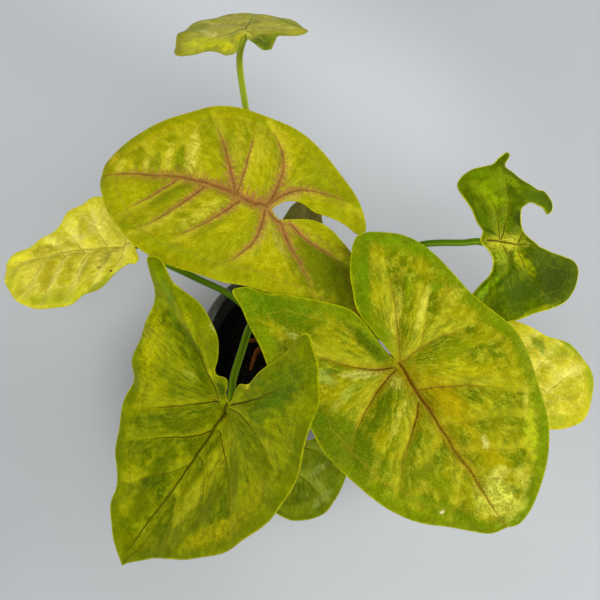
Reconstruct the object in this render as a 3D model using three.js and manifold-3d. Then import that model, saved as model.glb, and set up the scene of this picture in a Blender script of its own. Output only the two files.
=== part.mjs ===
// Arrowhead plant in a small round nursery pot.  Millimetres, +Z up, the pot stands on z = 0.
import * as THREE from "three";
import Module from "manifold-3d";
import { mergeVertices } from "three/addons/utils/BufferGeometryUtils.js";

const wasm = await Module();
wasm.setup();

// ---- driving dimensions ----
const POT_HEIGHT = 78;
const RIM_RADIUS = 50;
const RIM_WIDTH = 5;
const RIM_DEPTH = 6;
const FOOT_RADIUS = 35;
const WALL = 1.6;
const FLOOR = 2.4;
const DRAIN_RADIUS = 4;
const DRAIN_CIRCLE = 21;
const DRAINS = 5;
const SOIL_TOP = 66;
const GAP = 0.3;

const CROWN_CENTRE = [0, 2];
const CROWN_CIRCLE = 7.6;
const STUB_RADIUS = 4.2;
const STUB_HEIGHT = 9;

const BLADE_THICKNESS = 0.8;
const STALK_FOOT_RADIUS = 2.4;
const STALK_TIP_RADIUS = 1.95;

// ---- leaf shapes, flat: x from the stalk to the tip, y to the leaf's own left ----
// notch: bottom of the cleft.  sinus: inner edge of a lobe, from the notch outwards.
// side: from the lobe's end round to the tip.  lobe: middle of the lobe.
// shares: how the side edge is divided between lobe end, lobe, heart and midrib.  fan: facets at the lobe end.
// at: where the stalk meets the blade.  stalk: points that the stalk passes through, from the crown outwards.
// entry: how far below, behind and to the left of that meeting point the stalk comes in.
// angle: the stalk's place round the crown.
const LEAVES = [
  {
    name: "upper_left", at: [-8, 41, 160], heading: 164, pitch: 18, roll: 6, droop: 42, twist: -4,
    fold: [8, 8], arch: [8, 8], lobeDroop: 0, reach: 93, half: 50, notch: [-3, 0], tip: [93, 1],
    left: {
      sinus: [[-8, 5], [-14, 2], [-21, -2], [-29, -4], [-38, -2], [-46, 4], [-53, 13], [-61, 27], [-67, 41]],
      side: [[-70, 49], [-67, 56], [-54, 54], [-38, 51], [-18, 50], [-3, 51], [9, 54], [23, 54], [37, 52],
        [53, 46], [65, 37], [79, 24], [89, 9]],
      lobe: [-42, 24],
    },
    right: {
      sinus: [[-8, -7], [-16, -10], [-25, -8], [-34, -9], [-43, -9], [-51, -7]],
      side: [[-56, -11], [-54, -18], [-48, -27], [-38, -37], [-24, -47], [-6, -54], [11, -55], [28, -54],
        [42, -50], [53, -43], [63, -35], [75, -24], [87, -14]],
      lobe: [-36, -25],
    },
    stalk: [[-6.5, 12.5, 100], [-6, 28, 140]], angle: 150, stem: 0x5c6414, leaf: 0xa8a01c,
  },
  {
    name: "right", at: [56.5, -43.5, 156], heading: -54, pitch: -10, roll: -2, droop: 28, twist: 10,
    fold: [4, 2], arch: [6, 6], lobeDroop: 14, reach: 91, half: 55, notch: [-2.5, -0.5], tip: [97, 2],
    left: {
      sinus: [[-9, 0], [-16, 0.4], [-23, 1.2], [-29, 0.8], [-36, 2], [-42, 4.5], [-51, 9], [-61, 18]],
      side: [[-66, 25], [-65, 32], [-60, 39], [-53, 46], [-43, 50], [-22, 52], [-5, 52.5], [16, 57],
        [29, 56], [44, 52], [61, 46], [74, 38], [85, 28], [93, 17]],
      lobe: [-42, 27],
    },
    right: {
      sinus: [[-9, -1.3], [-15, -1.3], [-23, -1.2], [-29, -1.8], [-36, -4.4], [-43, -10], [-49, -15],
        [-58, -25], [-62, -32]],
      side: [[-71, -39], [-73, -46], [-64, -47], [-55, -49], [-43, -51], [-30, -54], [-16, -54], [-2, -53],
        [13, -54], [29, -51], [46, -46], [57, -41], [67, -34], [78, -23], [88, -14], [95, -6]],
      lobe: [-42, -32],
    },
    stalk: [[9, -8, 105], [28, -24, 141]], angle: 310, stem: 0x5f7a10, leaf: 0x9a9c12,
  },
  {
    name: "lower_left", at: [-27, -56, 131], heading: -122, pitch: -50, roll: 14, droop: -44, twist: 14,
    fold: [26, 20], arch: [14, 14], lobeDroop: 0, reach: 101, half: 55, notch: [-1, 0], tip: [105, 0],
    left: {
      sinus: [[-6, 3.1], [-11.5, 2.9], [-16, 3.4], [-20, 8.2], [-25, 11.4], [-38, 17], [-52, 23]],
      side: [[-61, 25], [-66, 29], [-62, 35], [-57, 43], [-46, 51], [-34, 53], [-16, 58], [-2, 61],
        [14, 61], [37, 57], [54, 51], [70, 40], [82, 28], [92, 15]],
      lobe: [-34, 33],
    },
    right: {
      sinus: [[-5, -2.5], [-10, -3], [-13.6, -4.4], [-13.8, -7], [-12.6, -9.8], [-14, -12.2], [-20, -13],
        [-33, -16], [-41, -23], [-46, -31], [-49, -41]],
      side: [[-53, -50], [-57, -56], [-54, -61], [-47, -57], [-38, -53], [-27, -52], [-8, -55], [7, -56],
        [20, -52], [34, -53], [47, -50], [61, -44], [70, -36], [78, -30], [86, -27], [92, -20], [98.5, -13.5]],
      lobe: [-32, -35],
    },
    stalk: [[-9, -2, 88], [-13, -5, 114], [-17, -13, 128], [-20.5, -27, 131], [-24.5, -43, 131]], angle: 230,
    entry: [4.4, 3.8, -2.6], stem: 0x4a6408, leaf: 0x778004,
  },
  {
    name: "top", at: [-22, 154, 168], heading: 84, pitch: -14, roll: -2, droop: 45, twist: 0,
    fold: [-6, -6], arch: [8, 8], lobeDroop: 4, reach: 50, half: 36, notch: [-4, -1], tip: [52, -1],
    left: {
      sinus: [[-16, 3], [-25, 4]],
      side: [[-24, 9], [-19, 20], [-21, 29], [-21, 34], [-16, 38], [-6, 39], [7, 40], [22, 36], [35, 27],
        [46, 13]],
      lobe: [-11, 20],
    },
    right: {
      sinus: [[-12, -7], [-17, -12]],
      side: [[-13, -17], [-6, -18], [-1, -19], [2, -23], [8, -28], [15, -33], [22, -33], [32, -27],
        [42, -16]],
      lobe: [-6, -11],
    },
    stalk: [[-6, 30, 92], [-13, 70, 108], [-23, 126, 131], [-27, 148, 150]], angle: 110,
    stem: 0x9aa638, leaf: 0xa69f38,
  },
  {
    name: "far_left", at: [-89, 46, 112], heading: 176, pitch: -12, roll: -6, droop: 18, twist: 14,
    fold: [4, 2], arch: [8, 8], lobeDroop: 0, reach: 93, half: 40, notch: [-3, 0], tip: [87, 5],
    left: {
      sinus: [[-4, 3], [-6, 7]],
      side: [[-7, 11], [-4, 13.5], [-1, 13], [2, 15], [8, 22], [16, 29], [23, 32], [30, 37], [39, 40],
        [48, 41], [60, 38], [69, 33], [77, 25], [84, 15]],
      lobe: [-3, 6],
    },
    right: {
      sinus: [[-10, -4], [-18, -9]],
      side: [[-22, -15], [-17, -21], [-6, -23], [5, -24], [15, -28], [26, -32], [36, -31], [46, -27],
        [50, -19], [57, -12], [64, -8], [71, -5], [81, -1]],
      lobe: [-10, -12],
    },
    stalk: [[-15, 7.2, 86], [-29, 18, 99], [-53, 27, 109], [-74, 38, 110]], angle: 190, entry: [3.5, 7],
    stem: 0x5a7206, leaf: 0xbdb42a,
  },
  {
    name: "far_right", at: [116, 45, 118], heading: -1, pitch: -8, roll: 0, droop: 20, twist: 0,
    fold: [12, -10], arch: [8, 8], lobeDroop: 0, reach: 45, half: 45, notch: [-2, 0], tip: [33, 1],
    left: {
      sinus: [[-2.5, 5.5], [-6.4, 10.3]],
      side: [[-9, 17], [-15, 27], [-17, 33], [-14, 39], [-8, 44], [0, 47], [5, 49], [13.5, 59], [11, 49],
        [18, 46], [24, 41], [32, 37], [37, 37], [42, 32], [42, 26], [38, 22], [35, 26], [28, 27], [22, 23],
        [21, 16], [24, 8]],
      lobe: [8, 32], shares: [0.78, 0.88, 0.93], fan: 16,
    },
    right: {
      sinus: [[-1, -4], [2, -8], [3, -13], [1, -20], [-5, -27]],
      side: [[-12, -36], [-3, -45], [8, -48], [15, -46], [24, -43], [32, -39], [44, -34], [55, -26],
        [62, -15], [64, -6], [60, -1], [53, 0.5], [42, 0]],
      lobe: [24, -22], shares: [0.88, 0.93, 0.96], fan: 12,
    },
    stalk: [[16, 12, 94], [44, 30, 109], [78, 44, 114], [104, 45, 115]], angle: 30, entry: [2.6, 6],
    stem: 0x4a5e04, leaf: 0x5c7206,
  },
  {
    name: "lower_right", at: [108, -15, 100], heading: -25, pitch: -12, roll: 4, droop: 18, twist: 0,
    fold: [4, 4], arch: [12, 12], lobeDroop: 0, reach: 70, half: 35, notch: [-3, 0], tip: [73, 2],
    left: {
      sinus: [[-10, 5], [-20, 8]],
      side: [[-26, 14], [-23, 22], [-10, 25], [3, 25], [14, 27], [24, 28], [34, 29], [46, 32], [56, 32],
        [64, 29], [70, 25], [76, 15], [76, 8]],
      lobe: [-12, 14],
    },
    right: {
      sinus: [[-10, -6], [-20, -10]],
      side: [[-27, -16], [-24, -23], [-12, -27], [4, -30], [20, -30], [34, -29], [46, -25], [57, -19],
        [67, -13], [70, -8], [76, -4]],
      lobe: [-12, -16],
    },
    stalk: [[18, 0, 86], [54, -6, 97], [92, -12, 95]], angle: 350, stem: 0x7d8a1a, leaf: 0xccc23c,
  },
  {
    name: "lower_front", at: [10, -68, 98], heading: -97, pitch: -14, roll: 0, droop: 18, twist: 0,
    fold: [4, 4], arch: [14, 14], lobeDroop: 0, reach: 50, half: 30, notch: [-2, 0], tip: [42, -3],
    left: {
      sinus: [[-4, 6], [-9, 11]],
      side: [[-14, 17], [-10, 23], [-2, 25], [8, 26], [15, 25], [22, 23], [28, 20], [34, 15], [38, 8]],
      lobe: [-5, 14],
    },
    right: {
      sinus: [[-9, -5], [-14, -9]],
      side: [[-17, -15], [-11, -21], [0, -25], [12, -25], [24, -21], [33, -15], [39, -9]],
      lobe: [-7, -13],
    },
    stalk: [[1, -14, 88], [4, -36, 98], [8, -56, 94]], angle: 270, stem: 0x55700a, leaf: 0x6c7f0c,
  },
  {
    name: "low_back", at: [8, 34, 104], heading: 84, pitch: -10, roll: 0, droop: 12, twist: 0,
    fold: [4, 4], arch: [10, 10], lobeDroop: 0, reach: 66, half: 15, notch: [-2.5, 0], tip: [66, 0],
    left: {
      sinus: [[-7, 3], [-12, 5]],
      side: [[-15, 9], [-11, 13], [0, 15], [18, 15.5], [34, 15], [52, 9]],
      lobe: [-6, 7],
    },
    right: {
      sinus: [[-7, -3], [-12, -5]],
      side: [[-15, -9], [-11, -13], [0, -13], [18, -12.5], [34, -12], [52, -8]],
      lobe: [-6, -7],
    },
    stalk: [[4, 14, 84], [6, 24, 96]], angle: 70, stem: 0x4f5e10, leaf: 0x6e6a34,
  },
];

const LOBE_STEPS = 6;
const FAN_STEPS = 4;
const HEART_STEPS = 3;
const RIB_STEPS = 8;
const ACROSS = 3;
const RIB_END = 0.9;
const SHARES = [0.14, 0.3, 0.46];

const rad = THREE.MathUtils.degToRad;

const group = new THREE.Group();
group.name = "arrowhead_plant";

function add(name, geometry, color, roughness) {
  const material = new THREE.MeshStandardMaterial({ color, roughness, metalness: 0 });
  const mesh = new THREE.Mesh(geometry, material);
  mesh.name = name;
  group.add(mesh);
}

// ---- pot, drain holes, soil ----
function toSolid(geometry) {
  const plain = geometry.clone();
  plain.deleteAttribute("normal");
  plain.deleteAttribute("uv");
  const merged = mergeVertices(plain, 1e-4);
  return new wasm.Manifold(new wasm.Mesh({
    numProp: 3,
    vertProperties: new Float32Array(merged.attributes.position.array),
    triVerts: new Uint32Array(merged.index.array),
  }));
}

function fromSolid(solid) {
  const mesh = solid.getMesh();
  const geometry = new THREE.BufferGeometry();
  geometry.setAttribute("position", new THREE.BufferAttribute(mesh.vertProperties, 3));
  geometry.setIndex(new THREE.BufferAttribute(mesh.triVerts, 1));
  geometry.computeVertexNormals();
  return geometry;
}

function turned(profile, segments) {
  const points = profile.map(([radius, z]) => new THREE.Vector2(radius, z));
  return new THREE.LatheGeometry(points, segments).rotateX(Math.PI / 2);
}

function outerRadius(z) {
  return FOOT_RADIUS + (RIM_RADIUS - RIM_WIDTH + WALL - FOOT_RADIUS) * (z / POT_HEIGHT);
}

function innerRadius(z) {
  return outerRadius(z) - WALL;
}

function potGeometry() {
  const lip = POT_HEIGHT - RIM_DEPTH;
  const profile = [
    [0, 0],
    [FOOT_RADIUS - 1.5, 0],
    [FOOT_RADIUS, 1.5],
    [outerRadius(lip - 1.5), lip - 1.5],
    [RIM_RADIUS - 0.8, lip],
    [RIM_RADIUS, lip + 1],
    [RIM_RADIUS, POT_HEIGHT - 1.2],
    [RIM_RADIUS - 1.2, POT_HEIGHT],
    [RIM_RADIUS - RIM_WIDTH + 1.2, POT_HEIGHT],
    [innerRadius(POT_HEIGHT - 1.4), POT_HEIGHT - 1.4],
    [innerRadius(SOIL_TOP), SOIL_TOP],
    [innerRadius(FLOOR), FLOOR],
    [0, FLOOR],
  ];
  let body = toSolid(turned(profile, 48));
  for (let i = 0; i < DRAINS; i++) {
    const angle = (i + 0.5) * 2 * Math.PI / DRAINS;
    const drill = new THREE.CylinderGeometry(DRAIN_RADIUS, DRAIN_RADIUS, FLOOR + 4, 12);
    drill.rotateX(Math.PI / 2);
    drill.translate(DRAIN_CIRCLE * Math.cos(angle), DRAIN_CIRCLE * Math.sin(angle), FLOOR / 2);
    body = body.subtract(toSolid(drill));
  }
  return fromSolid(body);
}

function soilGeometry() {
  const low = FLOOR + GAP;
  const profile = [
    [0, low],
    [innerRadius(low) - GAP, low],
    [innerRadius(SOIL_TOP - 2) - GAP, SOIL_TOP - 2],
    [innerRadius(SOIL_TOP - 2) - 5, SOIL_TOP - 0.6],
    [24, SOIL_TOP],
    [0, SOIL_TOP],
  ];
  return turned(profile, 40);
}

function stubGeometry() {
  const foot = SOIL_TOP + GAP;
  const profile = [
    [0, foot],
    [STUB_RADIUS, foot],
    [STUB_RADIUS - 0.4, foot + STUB_HEIGHT * 0.7],
    [STUB_RADIUS - 1.6, foot + STUB_HEIGHT],
    [0, foot + STUB_HEIGHT + 0.8],
  ];
  return turned(profile, 14).translate(CROWN_CENTRE[0], CROWN_CENTRE[1], 0);
}

// ---- stalks and dry leaf bases: a round or flat section carried along a smooth path ----
function sweep(path, sides, rings, section) {
  const curve = new THREE.CatmullRomCurve3(path.map((p) => new THREE.Vector3(...p)), false, "centripetal");
  const frames = curve.computeFrenetFrames(rings, false);
  const positions = [];
  const index = [];
  for (let i = 0; i <= rings; i++) {
    const centre = curve.getPointAt(i / rings);
    const [wide, thick] = section(i / rings);
    for (let j = 0; j < sides; j++) {
      const angle = j * 2 * Math.PI / sides;
      const point = centre.clone()
        .addScaledVector(frames.normals[i], wide * Math.cos(angle))
        .addScaledVector(frames.binormals[i], thick * Math.sin(angle));
      positions.push(point.x, point.y, point.z);
    }
  }
  for (let i = 0; i < rings; i++) {
    for (let j = 0; j < sides; j++) {
      const a = i * sides + j;
      const b = i * sides + (j + 1) % sides;
      index.push(a, b, b + sides, a, b + sides, a + sides);
    }
  }
  for (let j = 1; j < sides - 1; j++) {
    const last = rings * sides;
    index.push(0, j + 1, j);
    index.push(last, last + j, last + j + 1);
  }
  const geometry = new THREE.BufferGeometry();
  geometry.setAttribute("position", new THREE.Float32BufferAttribute(positions, 3));
  geometry.setIndex(index);
  geometry.computeVertexNormals();
  return geometry;
}

// ---- blades ----
function leafAxes(leaf) {
  const heading = rad(leaf.heading);
  const pitch = rad(leaf.pitch);
  const roll = rad(leaf.roll);
  const along = new THREE.Vector3(
    Math.cos(heading) * Math.cos(pitch), Math.sin(heading) * Math.cos(pitch), Math.sin(pitch));
  const flatLeft = new THREE.Vector3(-Math.sin(heading), Math.cos(heading), 0);
  const flatUp = along.clone().cross(flatLeft);
  const left = flatLeft.clone().multiplyScalar(Math.cos(roll)).addScaledVector(flatUp, Math.sin(roll));
  return { along, left, up: along.clone().cross(left) };
}

// Carries a flat leaf point into space: folded along the midrib, arched across, drooped along.
function leafPoint(leaf, axes, x, y) {
  const bend = rad(x >= 0 ? leaf.droop : leaf.lobeDroop) / leaf.reach || 1e-7;
  const side = y >= 0 ? 0 : 1;
  const fold = rad(leaf.fold[side]);
  const curl = rad(leaf.arch[side]) / leaf.half || 1e-7;
  const out = Math.abs(y);
  const across = (Math.sin(fold) - Math.sin(fold - curl * out)) / curl * (side === 0 ? 1 : -1);
  const lift = (Math.cos(fold - curl * out) - Math.cos(fold)) / curl;
  const turn = rad(leaf.twist) * x / leaf.reach;
  const sideways = across * Math.cos(turn) - lift * Math.sin(turn);
  const rise = across * Math.sin(turn) + lift * Math.cos(turn);
  const angle = bend * x;
  const along = Math.sin(angle) / bend + rise * Math.sin(angle);
  const up = -(1 - Math.cos(angle)) / bend + rise * Math.cos(angle);
  return new THREE.Vector3(...leaf.at)
    .addScaledVector(axes.along, along)
    .addScaledVector(axes.left, sideways)
    .addScaledVector(axes.up, up);
}

function leafNormal(leaf, axes, x, y) {
  const step = 0.2;
  const du = leafPoint(leaf, axes, x + step, y).sub(leafPoint(leaf, axes, x - step, y));
  const dv = leafPoint(leaf, axes, x, y + step).sub(leafPoint(leaf, axes, x, y - step));
  return du.cross(dv).normalize();
}

function smooth(points) {
  return new THREE.SplineCurve(points.map(([x, y]) => new THREE.Vector2(x, y)));
}

// Pairs of [point inside the leaf, point on its edge], from the notch round one side to the tip.
function ribs(leaf, half) {
  const sinus = smooth([leaf.notch, ...half.sinus, half.side[0]]);
  const side = smooth([...half.side, leaf.tip]);
  const [fanEnd, lobeEnd, heartEnd] = half.shares || SHARES;
  const lobePoint = (t) => new THREE.Vector2(half.lobe[0] * t, half.lobe[1] * t);
  const ribPoint = (t) => new THREE.Vector2(leaf.tip[0] * t * RIB_END, leaf.tip[1] * t * RIB_END);
  const pairs = [];
  for (let i = 0; i <= LOBE_STEPS; i++) {
    pairs.push([lobePoint(i / LOBE_STEPS), sinus.getPointAt(i / LOBE_STEPS)]);
  }
  const fanSteps = half.fan || FAN_STEPS;
  for (let i = 1; i <= fanSteps; i++) {
    pairs.push([lobePoint(1), side.getPointAt(fanEnd * i / fanSteps)]);
  }
  for (let i = 1; i < LOBE_STEPS; i++) {
    const w = fanEnd + (lobeEnd - fanEnd) * i / LOBE_STEPS;
    pairs.push([lobePoint(1 - i / LOBE_STEPS), side.getPointAt(w)]);
  }
  for (let i = 0; i <= HEART_STEPS; i++) {
    const w = lobeEnd + (heartEnd - lobeEnd) * i / HEART_STEPS;
    pairs.push([ribPoint(0), side.getPointAt(w)]);
  }
  for (let i = 1; i <= RIB_STEPS; i++) {
    const w = heartEnd + (0.97 - heartEnd) * i / RIB_STEPS;
    pairs.push([ribPoint(i / RIB_STEPS), side.getPointAt(w)]);
  }
  pairs.push([ribPoint(1), new THREE.Vector2(...leaf.tip)]);
  return pairs;
}

function bladeGeometry(leaf) {
  const axes = leafAxes(leaf);
  const flat = [];
  const known = new Map();
  const faces = [];
  const numberOf = (p) => {
    const key = `${Math.round(p.x * 1e4)},${Math.round(p.y * 1e4)}`;
    if (!known.has(key)) {
      known.set(key, flat.length);
      flat.push(p);
    }
    return known.get(key);
  };
  const face = (a, b, c) => {
    if (a !== b && b !== c && a !== c) {
      faces.push([a, b, c]);
    }
  };
  for (const half of [leaf.left, leaf.right]) {
    const pairs = ribs(leaf, half);
    const grid = pairs.map(([inner, edge]) => {
      const row = [];
      for (let j = 0; j <= ACROSS; j++) {
        row.push(numberOf(inner.clone().lerp(edge, j / ACROSS)));
      }
      return row;
    });
    for (let i = 0; i + 1 < grid.length; i++) {
      for (let j = 0; j < ACROSS; j++) {
        const [a, b, c, d] = [grid[i][j], grid[i][j + 1], grid[i + 1][j + 1], grid[i + 1][j]];
        if (half === leaf.left) {
          face(a, c, b);
          face(a, d, c);
        } else {
          face(a, b, c);
          face(a, c, d);
        }
      }
    }
  }
  const count = flat.length;
  const positions = [];
  for (const offset of [BLADE_THICKNESS / 2, -BLADE_THICKNESS / 2]) {
    for (const p of flat) {
      const point = leafPoint(leaf, axes, p.x, p.y);
      point.addScaledVector(leafNormal(leaf, axes, p.x, p.y), offset);
      positions.push(point.x, point.y, point.z);
    }
  }
  const index = [];
  const edges = new Set();
  for (const [a, b, c] of faces) {
    index.push(a, b, c, a + count, c + count, b + count);
    for (const [from, to] of [[a, b], [b, c], [c, a]]) {
      edges.add(`${from},${to}`);
    }
  }
  for (const edge of edges) {
    const [from, to] = edge.split(",").map(Number);
    if (!edges.has(`${to},${from}`)) {
      index.push(to, from, from + count, to, from + count, to + count);
    }
  }
  const geometry = new THREE.BufferGeometry();
  geometry.setAttribute("position", new THREE.Float32BufferAttribute(positions, 3));
  geometry.setIndex(index);
  geometry.computeVertexNormals();
  return geometry;
}

function stalkGeometry(leaf) {
  const axes = leafAxes(leaf);
  const under = (down, back, aside = 0) => new THREE.Vector3(...leaf.at)
    .addScaledVector(axes.up, -down)
    .addScaledVector(axes.along, -back)
    .addScaledVector(axes.left, aside)
    .toArray();
  const angle = rad(leaf.angle);
  const foot = [
    CROWN_CENTRE[0] + CROWN_CIRCLE * Math.cos(angle),
    CROWN_CENTRE[1] + CROWN_CIRCLE * Math.sin(angle),
    SOIL_TOP + GAP,
  ];
  const above = [foot[0], foot[1], foot[2] + 7];
  const path = [foot, above, ...leaf.stalk, under(...(leaf.entry || [6, 4])), under(2.6, 0.3),
    under(BLADE_THICKNESS / 2 + GAP + 0.35, 0)];
  const radius = (t) => STALK_TIP_RADIUS + (STALK_FOOT_RADIUS - STALK_TIP_RADIUS) * (1 - t) ** 2;
  return sweep(path, 8, 16, (t) => [radius(t), radius(t)]);
}

add("pot", potGeometry(), 0x4e4f4b, 0.45);
add("soil", soilGeometry(), 0x1a1410, 0.95);
add("crown_stem", stubGeometry(), 0x5b4a24, 0.8);
for (const leaf of LEAVES) {
  add(`stalk_${leaf.name}`, stalkGeometry(leaf), leaf.stem, 0.5);
  add(`blade_${leaf.name}`, bladeGeometry(leaf), leaf.leaf, 0.45);
}

// Two dry, papery leaf bases left on the crown, lying over the soil.
const DRY_BASES = [
  {
    name: "dry_leaf_base_front",
    path: [[-12.4, -2.4, 69.2], [-15, -3.4, 71.4], [-18, -9, 71], [-20.2, -16, 69.2]],
  },
  {
    name: "dry_leaf_base_back",
    path: [[-13.5, 3.6, 69], [-17, 3.2, 70.4], [-20.5, 2.6, 70.4], [-25, 2.2, 69.2]],
  },
];
for (const base of DRY_BASES) {
  add(base.name, sweep(base.path, 8, 8, (t) => [1.9 - 1.1 * t, 0.9 - 0.3 * t]), 0x8a5a24, 0.85);
}

export default group;
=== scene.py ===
"""Arrowhead plant in a small round nursery pot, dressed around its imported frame.

The tables are in millimetres, as a grower's ruler reads them; the meshes are in metres.
A leaf is drawn flat first, with x running from the stalk to the tip and y to the leaf's own
left, and is then folded, arched and drooped into its place over the pot.
"""

import logging
import math
import random
from dataclasses import dataclass, field, replace
from enum import Enum
from functools import cache
from typing import Sequence

import bmesh
import bpy
import numpy as np
from mathutils import Matrix, Vector, noise
from mathutils.geometry import delaunay_2d_cdt

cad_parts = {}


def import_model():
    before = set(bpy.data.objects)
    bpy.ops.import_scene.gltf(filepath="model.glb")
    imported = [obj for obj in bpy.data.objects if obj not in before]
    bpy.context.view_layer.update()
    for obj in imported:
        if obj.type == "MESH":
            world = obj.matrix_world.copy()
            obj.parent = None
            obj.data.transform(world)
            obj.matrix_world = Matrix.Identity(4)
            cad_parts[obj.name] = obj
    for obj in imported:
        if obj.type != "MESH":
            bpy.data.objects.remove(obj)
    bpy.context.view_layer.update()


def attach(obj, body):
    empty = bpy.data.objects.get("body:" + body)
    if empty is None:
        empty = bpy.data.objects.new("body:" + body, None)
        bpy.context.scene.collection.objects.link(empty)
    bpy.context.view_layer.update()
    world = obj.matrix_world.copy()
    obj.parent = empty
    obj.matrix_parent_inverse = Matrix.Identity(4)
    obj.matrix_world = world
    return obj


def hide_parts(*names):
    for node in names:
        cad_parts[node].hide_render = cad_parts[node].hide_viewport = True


log = logging.getLogger("arrowhead_plant")

MM = 0.001
BODY = "root"
LEAF_TINT = (1.0, 1.0, 0.12, 1.0)
STALK_TINT = (1.0, 1.0, 0.2, 1.0)
MERGE_M = 1e-6
FILL_INSIDE, FILL_NEARNESS = 1, 1e-5

Point = tuple[float, float]
Place = tuple[float, float, float]
Colour = tuple[int, int, int]


# -------- small helpers

def paint(colour: Colour) -> tuple[float, float, float, float]:
    """Turns a colour on the chart's scale of 0 to 255 into linear light.

    Args:
        colour: Red, green and blue as they read on a colour chart.

    Returns:
        The same colour as four linear numbers, fully opaque.
    """
    parts = [c / 255 for c in colour]
    linear = [p / 12.92 if p <= 0.04045 else ((p + 0.055) / 1.055) ** 2.4 for p in parts]
    return (*linear, 1.0)


def smoothstep(value: np.ndarray, low: float, high: float) -> np.ndarray:
    """Rises softly from 0 at low to 1 at high."""
    t = np.clip((value - low) / (high - low), 0.0, 1.0)
    return t * t * (3 - 2 * t)


def spline(points: Sequence[Sequence[float]], count: int, even: float = 0.0) -> np.ndarray:
    """Draws a smooth line through points and divides it at equal distances.

    Args:
        points: What the line passes through, in order.
        count: How many points to return, the two ends included.
        even: 0 for a draughtsman's uniform spline, 0.5 for one that hugs short spans.

    Returns:
        An array with one row for each division point.
    """
    p = np.array(points, float)
    before, after = (2 * p[0] - p[1], 2 * p[-1] - p[-2]) if even else (p[0], p[-1])
    p = np.vstack([before, p, after])
    drawn = []
    steps = np.linspace(0, 1, 25)[:, None]
    for p0, p1, p2, p3 in zip(p[:-3], p[1:-2], p[2:-1], p[3:]):
        d0, d1, d2 = (max(np.linalg.norm(b - a), 1e-6) ** even for a, b in
                      ((p0, p1), (p1, p2), (p2, p3)))
        if even:
            t1 = ((p1 - p0) / d0 - (p2 - p0) / (d0 + d1) + (p2 - p1) / d1) * d1
            t2 = ((p2 - p1) / d1 - (p3 - p1) / (d1 + d2) + (p3 - p2) / d2) * d1
        else:
            t1, t2 = (p2 - p0) / 2, (p3 - p1) / 2
        s2, s3 = steps ** 2, steps ** 3
        drawn.append((2 * s3 - 3 * s2 + 1) * p1 + (s3 - 2 * s2 + steps) * t1
                     + (3 * s2 - 2 * s3) * p2 + (s3 - s2) * t2)
    line = np.vstack(drawn)
    run = np.concatenate([[0], np.cumsum(np.linalg.norm(np.diff(line, axis=0), axis=1))])
    wanted = np.linspace(0, run[-1], count)
    return np.stack([np.interp(wanted, run, line[:, k]) for k in range(line.shape[1])], axis=1)


def frames_along(path: np.ndarray, facing: Vector) -> list[Matrix]:
    """Sets a turned frame on each point of a path, without twisting between them.

    Args:
        path: Points in metres.
        facing: Roughly where the first frame's own x axis should look.

    Returns:
        One 4x4 matrix for each point; its z axis follows the path.
    """
    found = []
    points = [Vector(p) for p in path]
    for i, here in enumerate(points):
        ahead = (points[min(i + 1, len(points) - 1)] - points[max(i - 1, 0)]).normalized()
        facing = (facing - ahead * facing.dot(ahead)).normalized()
        side = ahead.cross(facing)
        turned = Matrix((facing, side, ahead)).transposed().to_4x4()
        found.append(Matrix.Translation(here) @ turned)
    return found


def new_piece(name: str, bm: bmesh.types.BMesh, materials: Sequence[bpy.types.Material],
              sharp_degrees: float = 180.0) -> bpy.types.Object:
    """Turns a bmesh into a smooth shaded object at the origin.

    Args:
        name: The piece's name.
        bm: The finished shape; it is freed.
        materials: What the piece is dressed in, in slot order.
        sharp_degrees: Edges that bend more than this stay crisp.

    Returns:
        The new object, linked to the scene.
    """
    limit = math.radians(sharp_degrees)
    for face in bm.faces:
        face.smooth = True
    for edge in bm.edges:
        if len(edge.link_faces) == 2 and edge.calc_face_angle(0.0) > limit:
            edge.smooth = False
    mesh = bpy.data.meshes.new(name)
    bm.to_mesh(mesh)
    bm.free()
    for material in materials:
        mesh.materials.append(material)
    piece = bpy.data.objects.new(name, mesh)
    bpy.context.scene.collection.objects.link(piece)
    return piece


def spun(profile: Sequence[Point], steps: int) -> bmesh.types.BMesh:
    """Spins a profile round the z axis into a closed shape.

    Args:
        profile: Radius and height points in millimetres, from one end on the axis to the other.
        steps: How many sides the round has.

    Returns:
        The shape in metres.
    """
    bm = bmesh.new()
    line = [bm.verts.new((radius * MM, 0.0, height * MM)) for radius, height in profile]
    edges = [bm.edges.new(pair) for pair in zip(line, line[1:])]
    bmesh.ops.spin(bm, geom=[*line, *edges], cent=(0, 0, 0), axis=(0, 0, 1), dvec=(0, 0, 0),
                   angle=2 * math.pi, steps=steps, use_merge=True)
    bmesh.ops.remove_doubles(bm, verts=bm.verts, dist=MERGE_M)
    bmesh.ops.recalc_face_normals(bm, faces=bm.faces)
    return bm


def hand_over(piece: bpy.types.Object, node: str) -> bpy.types.Object:
    """Lets a piece ride on the plant and stand for its node of the frame."""
    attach(piece, BODY)
    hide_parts(node)
    return piece


# -------- node trees

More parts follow.
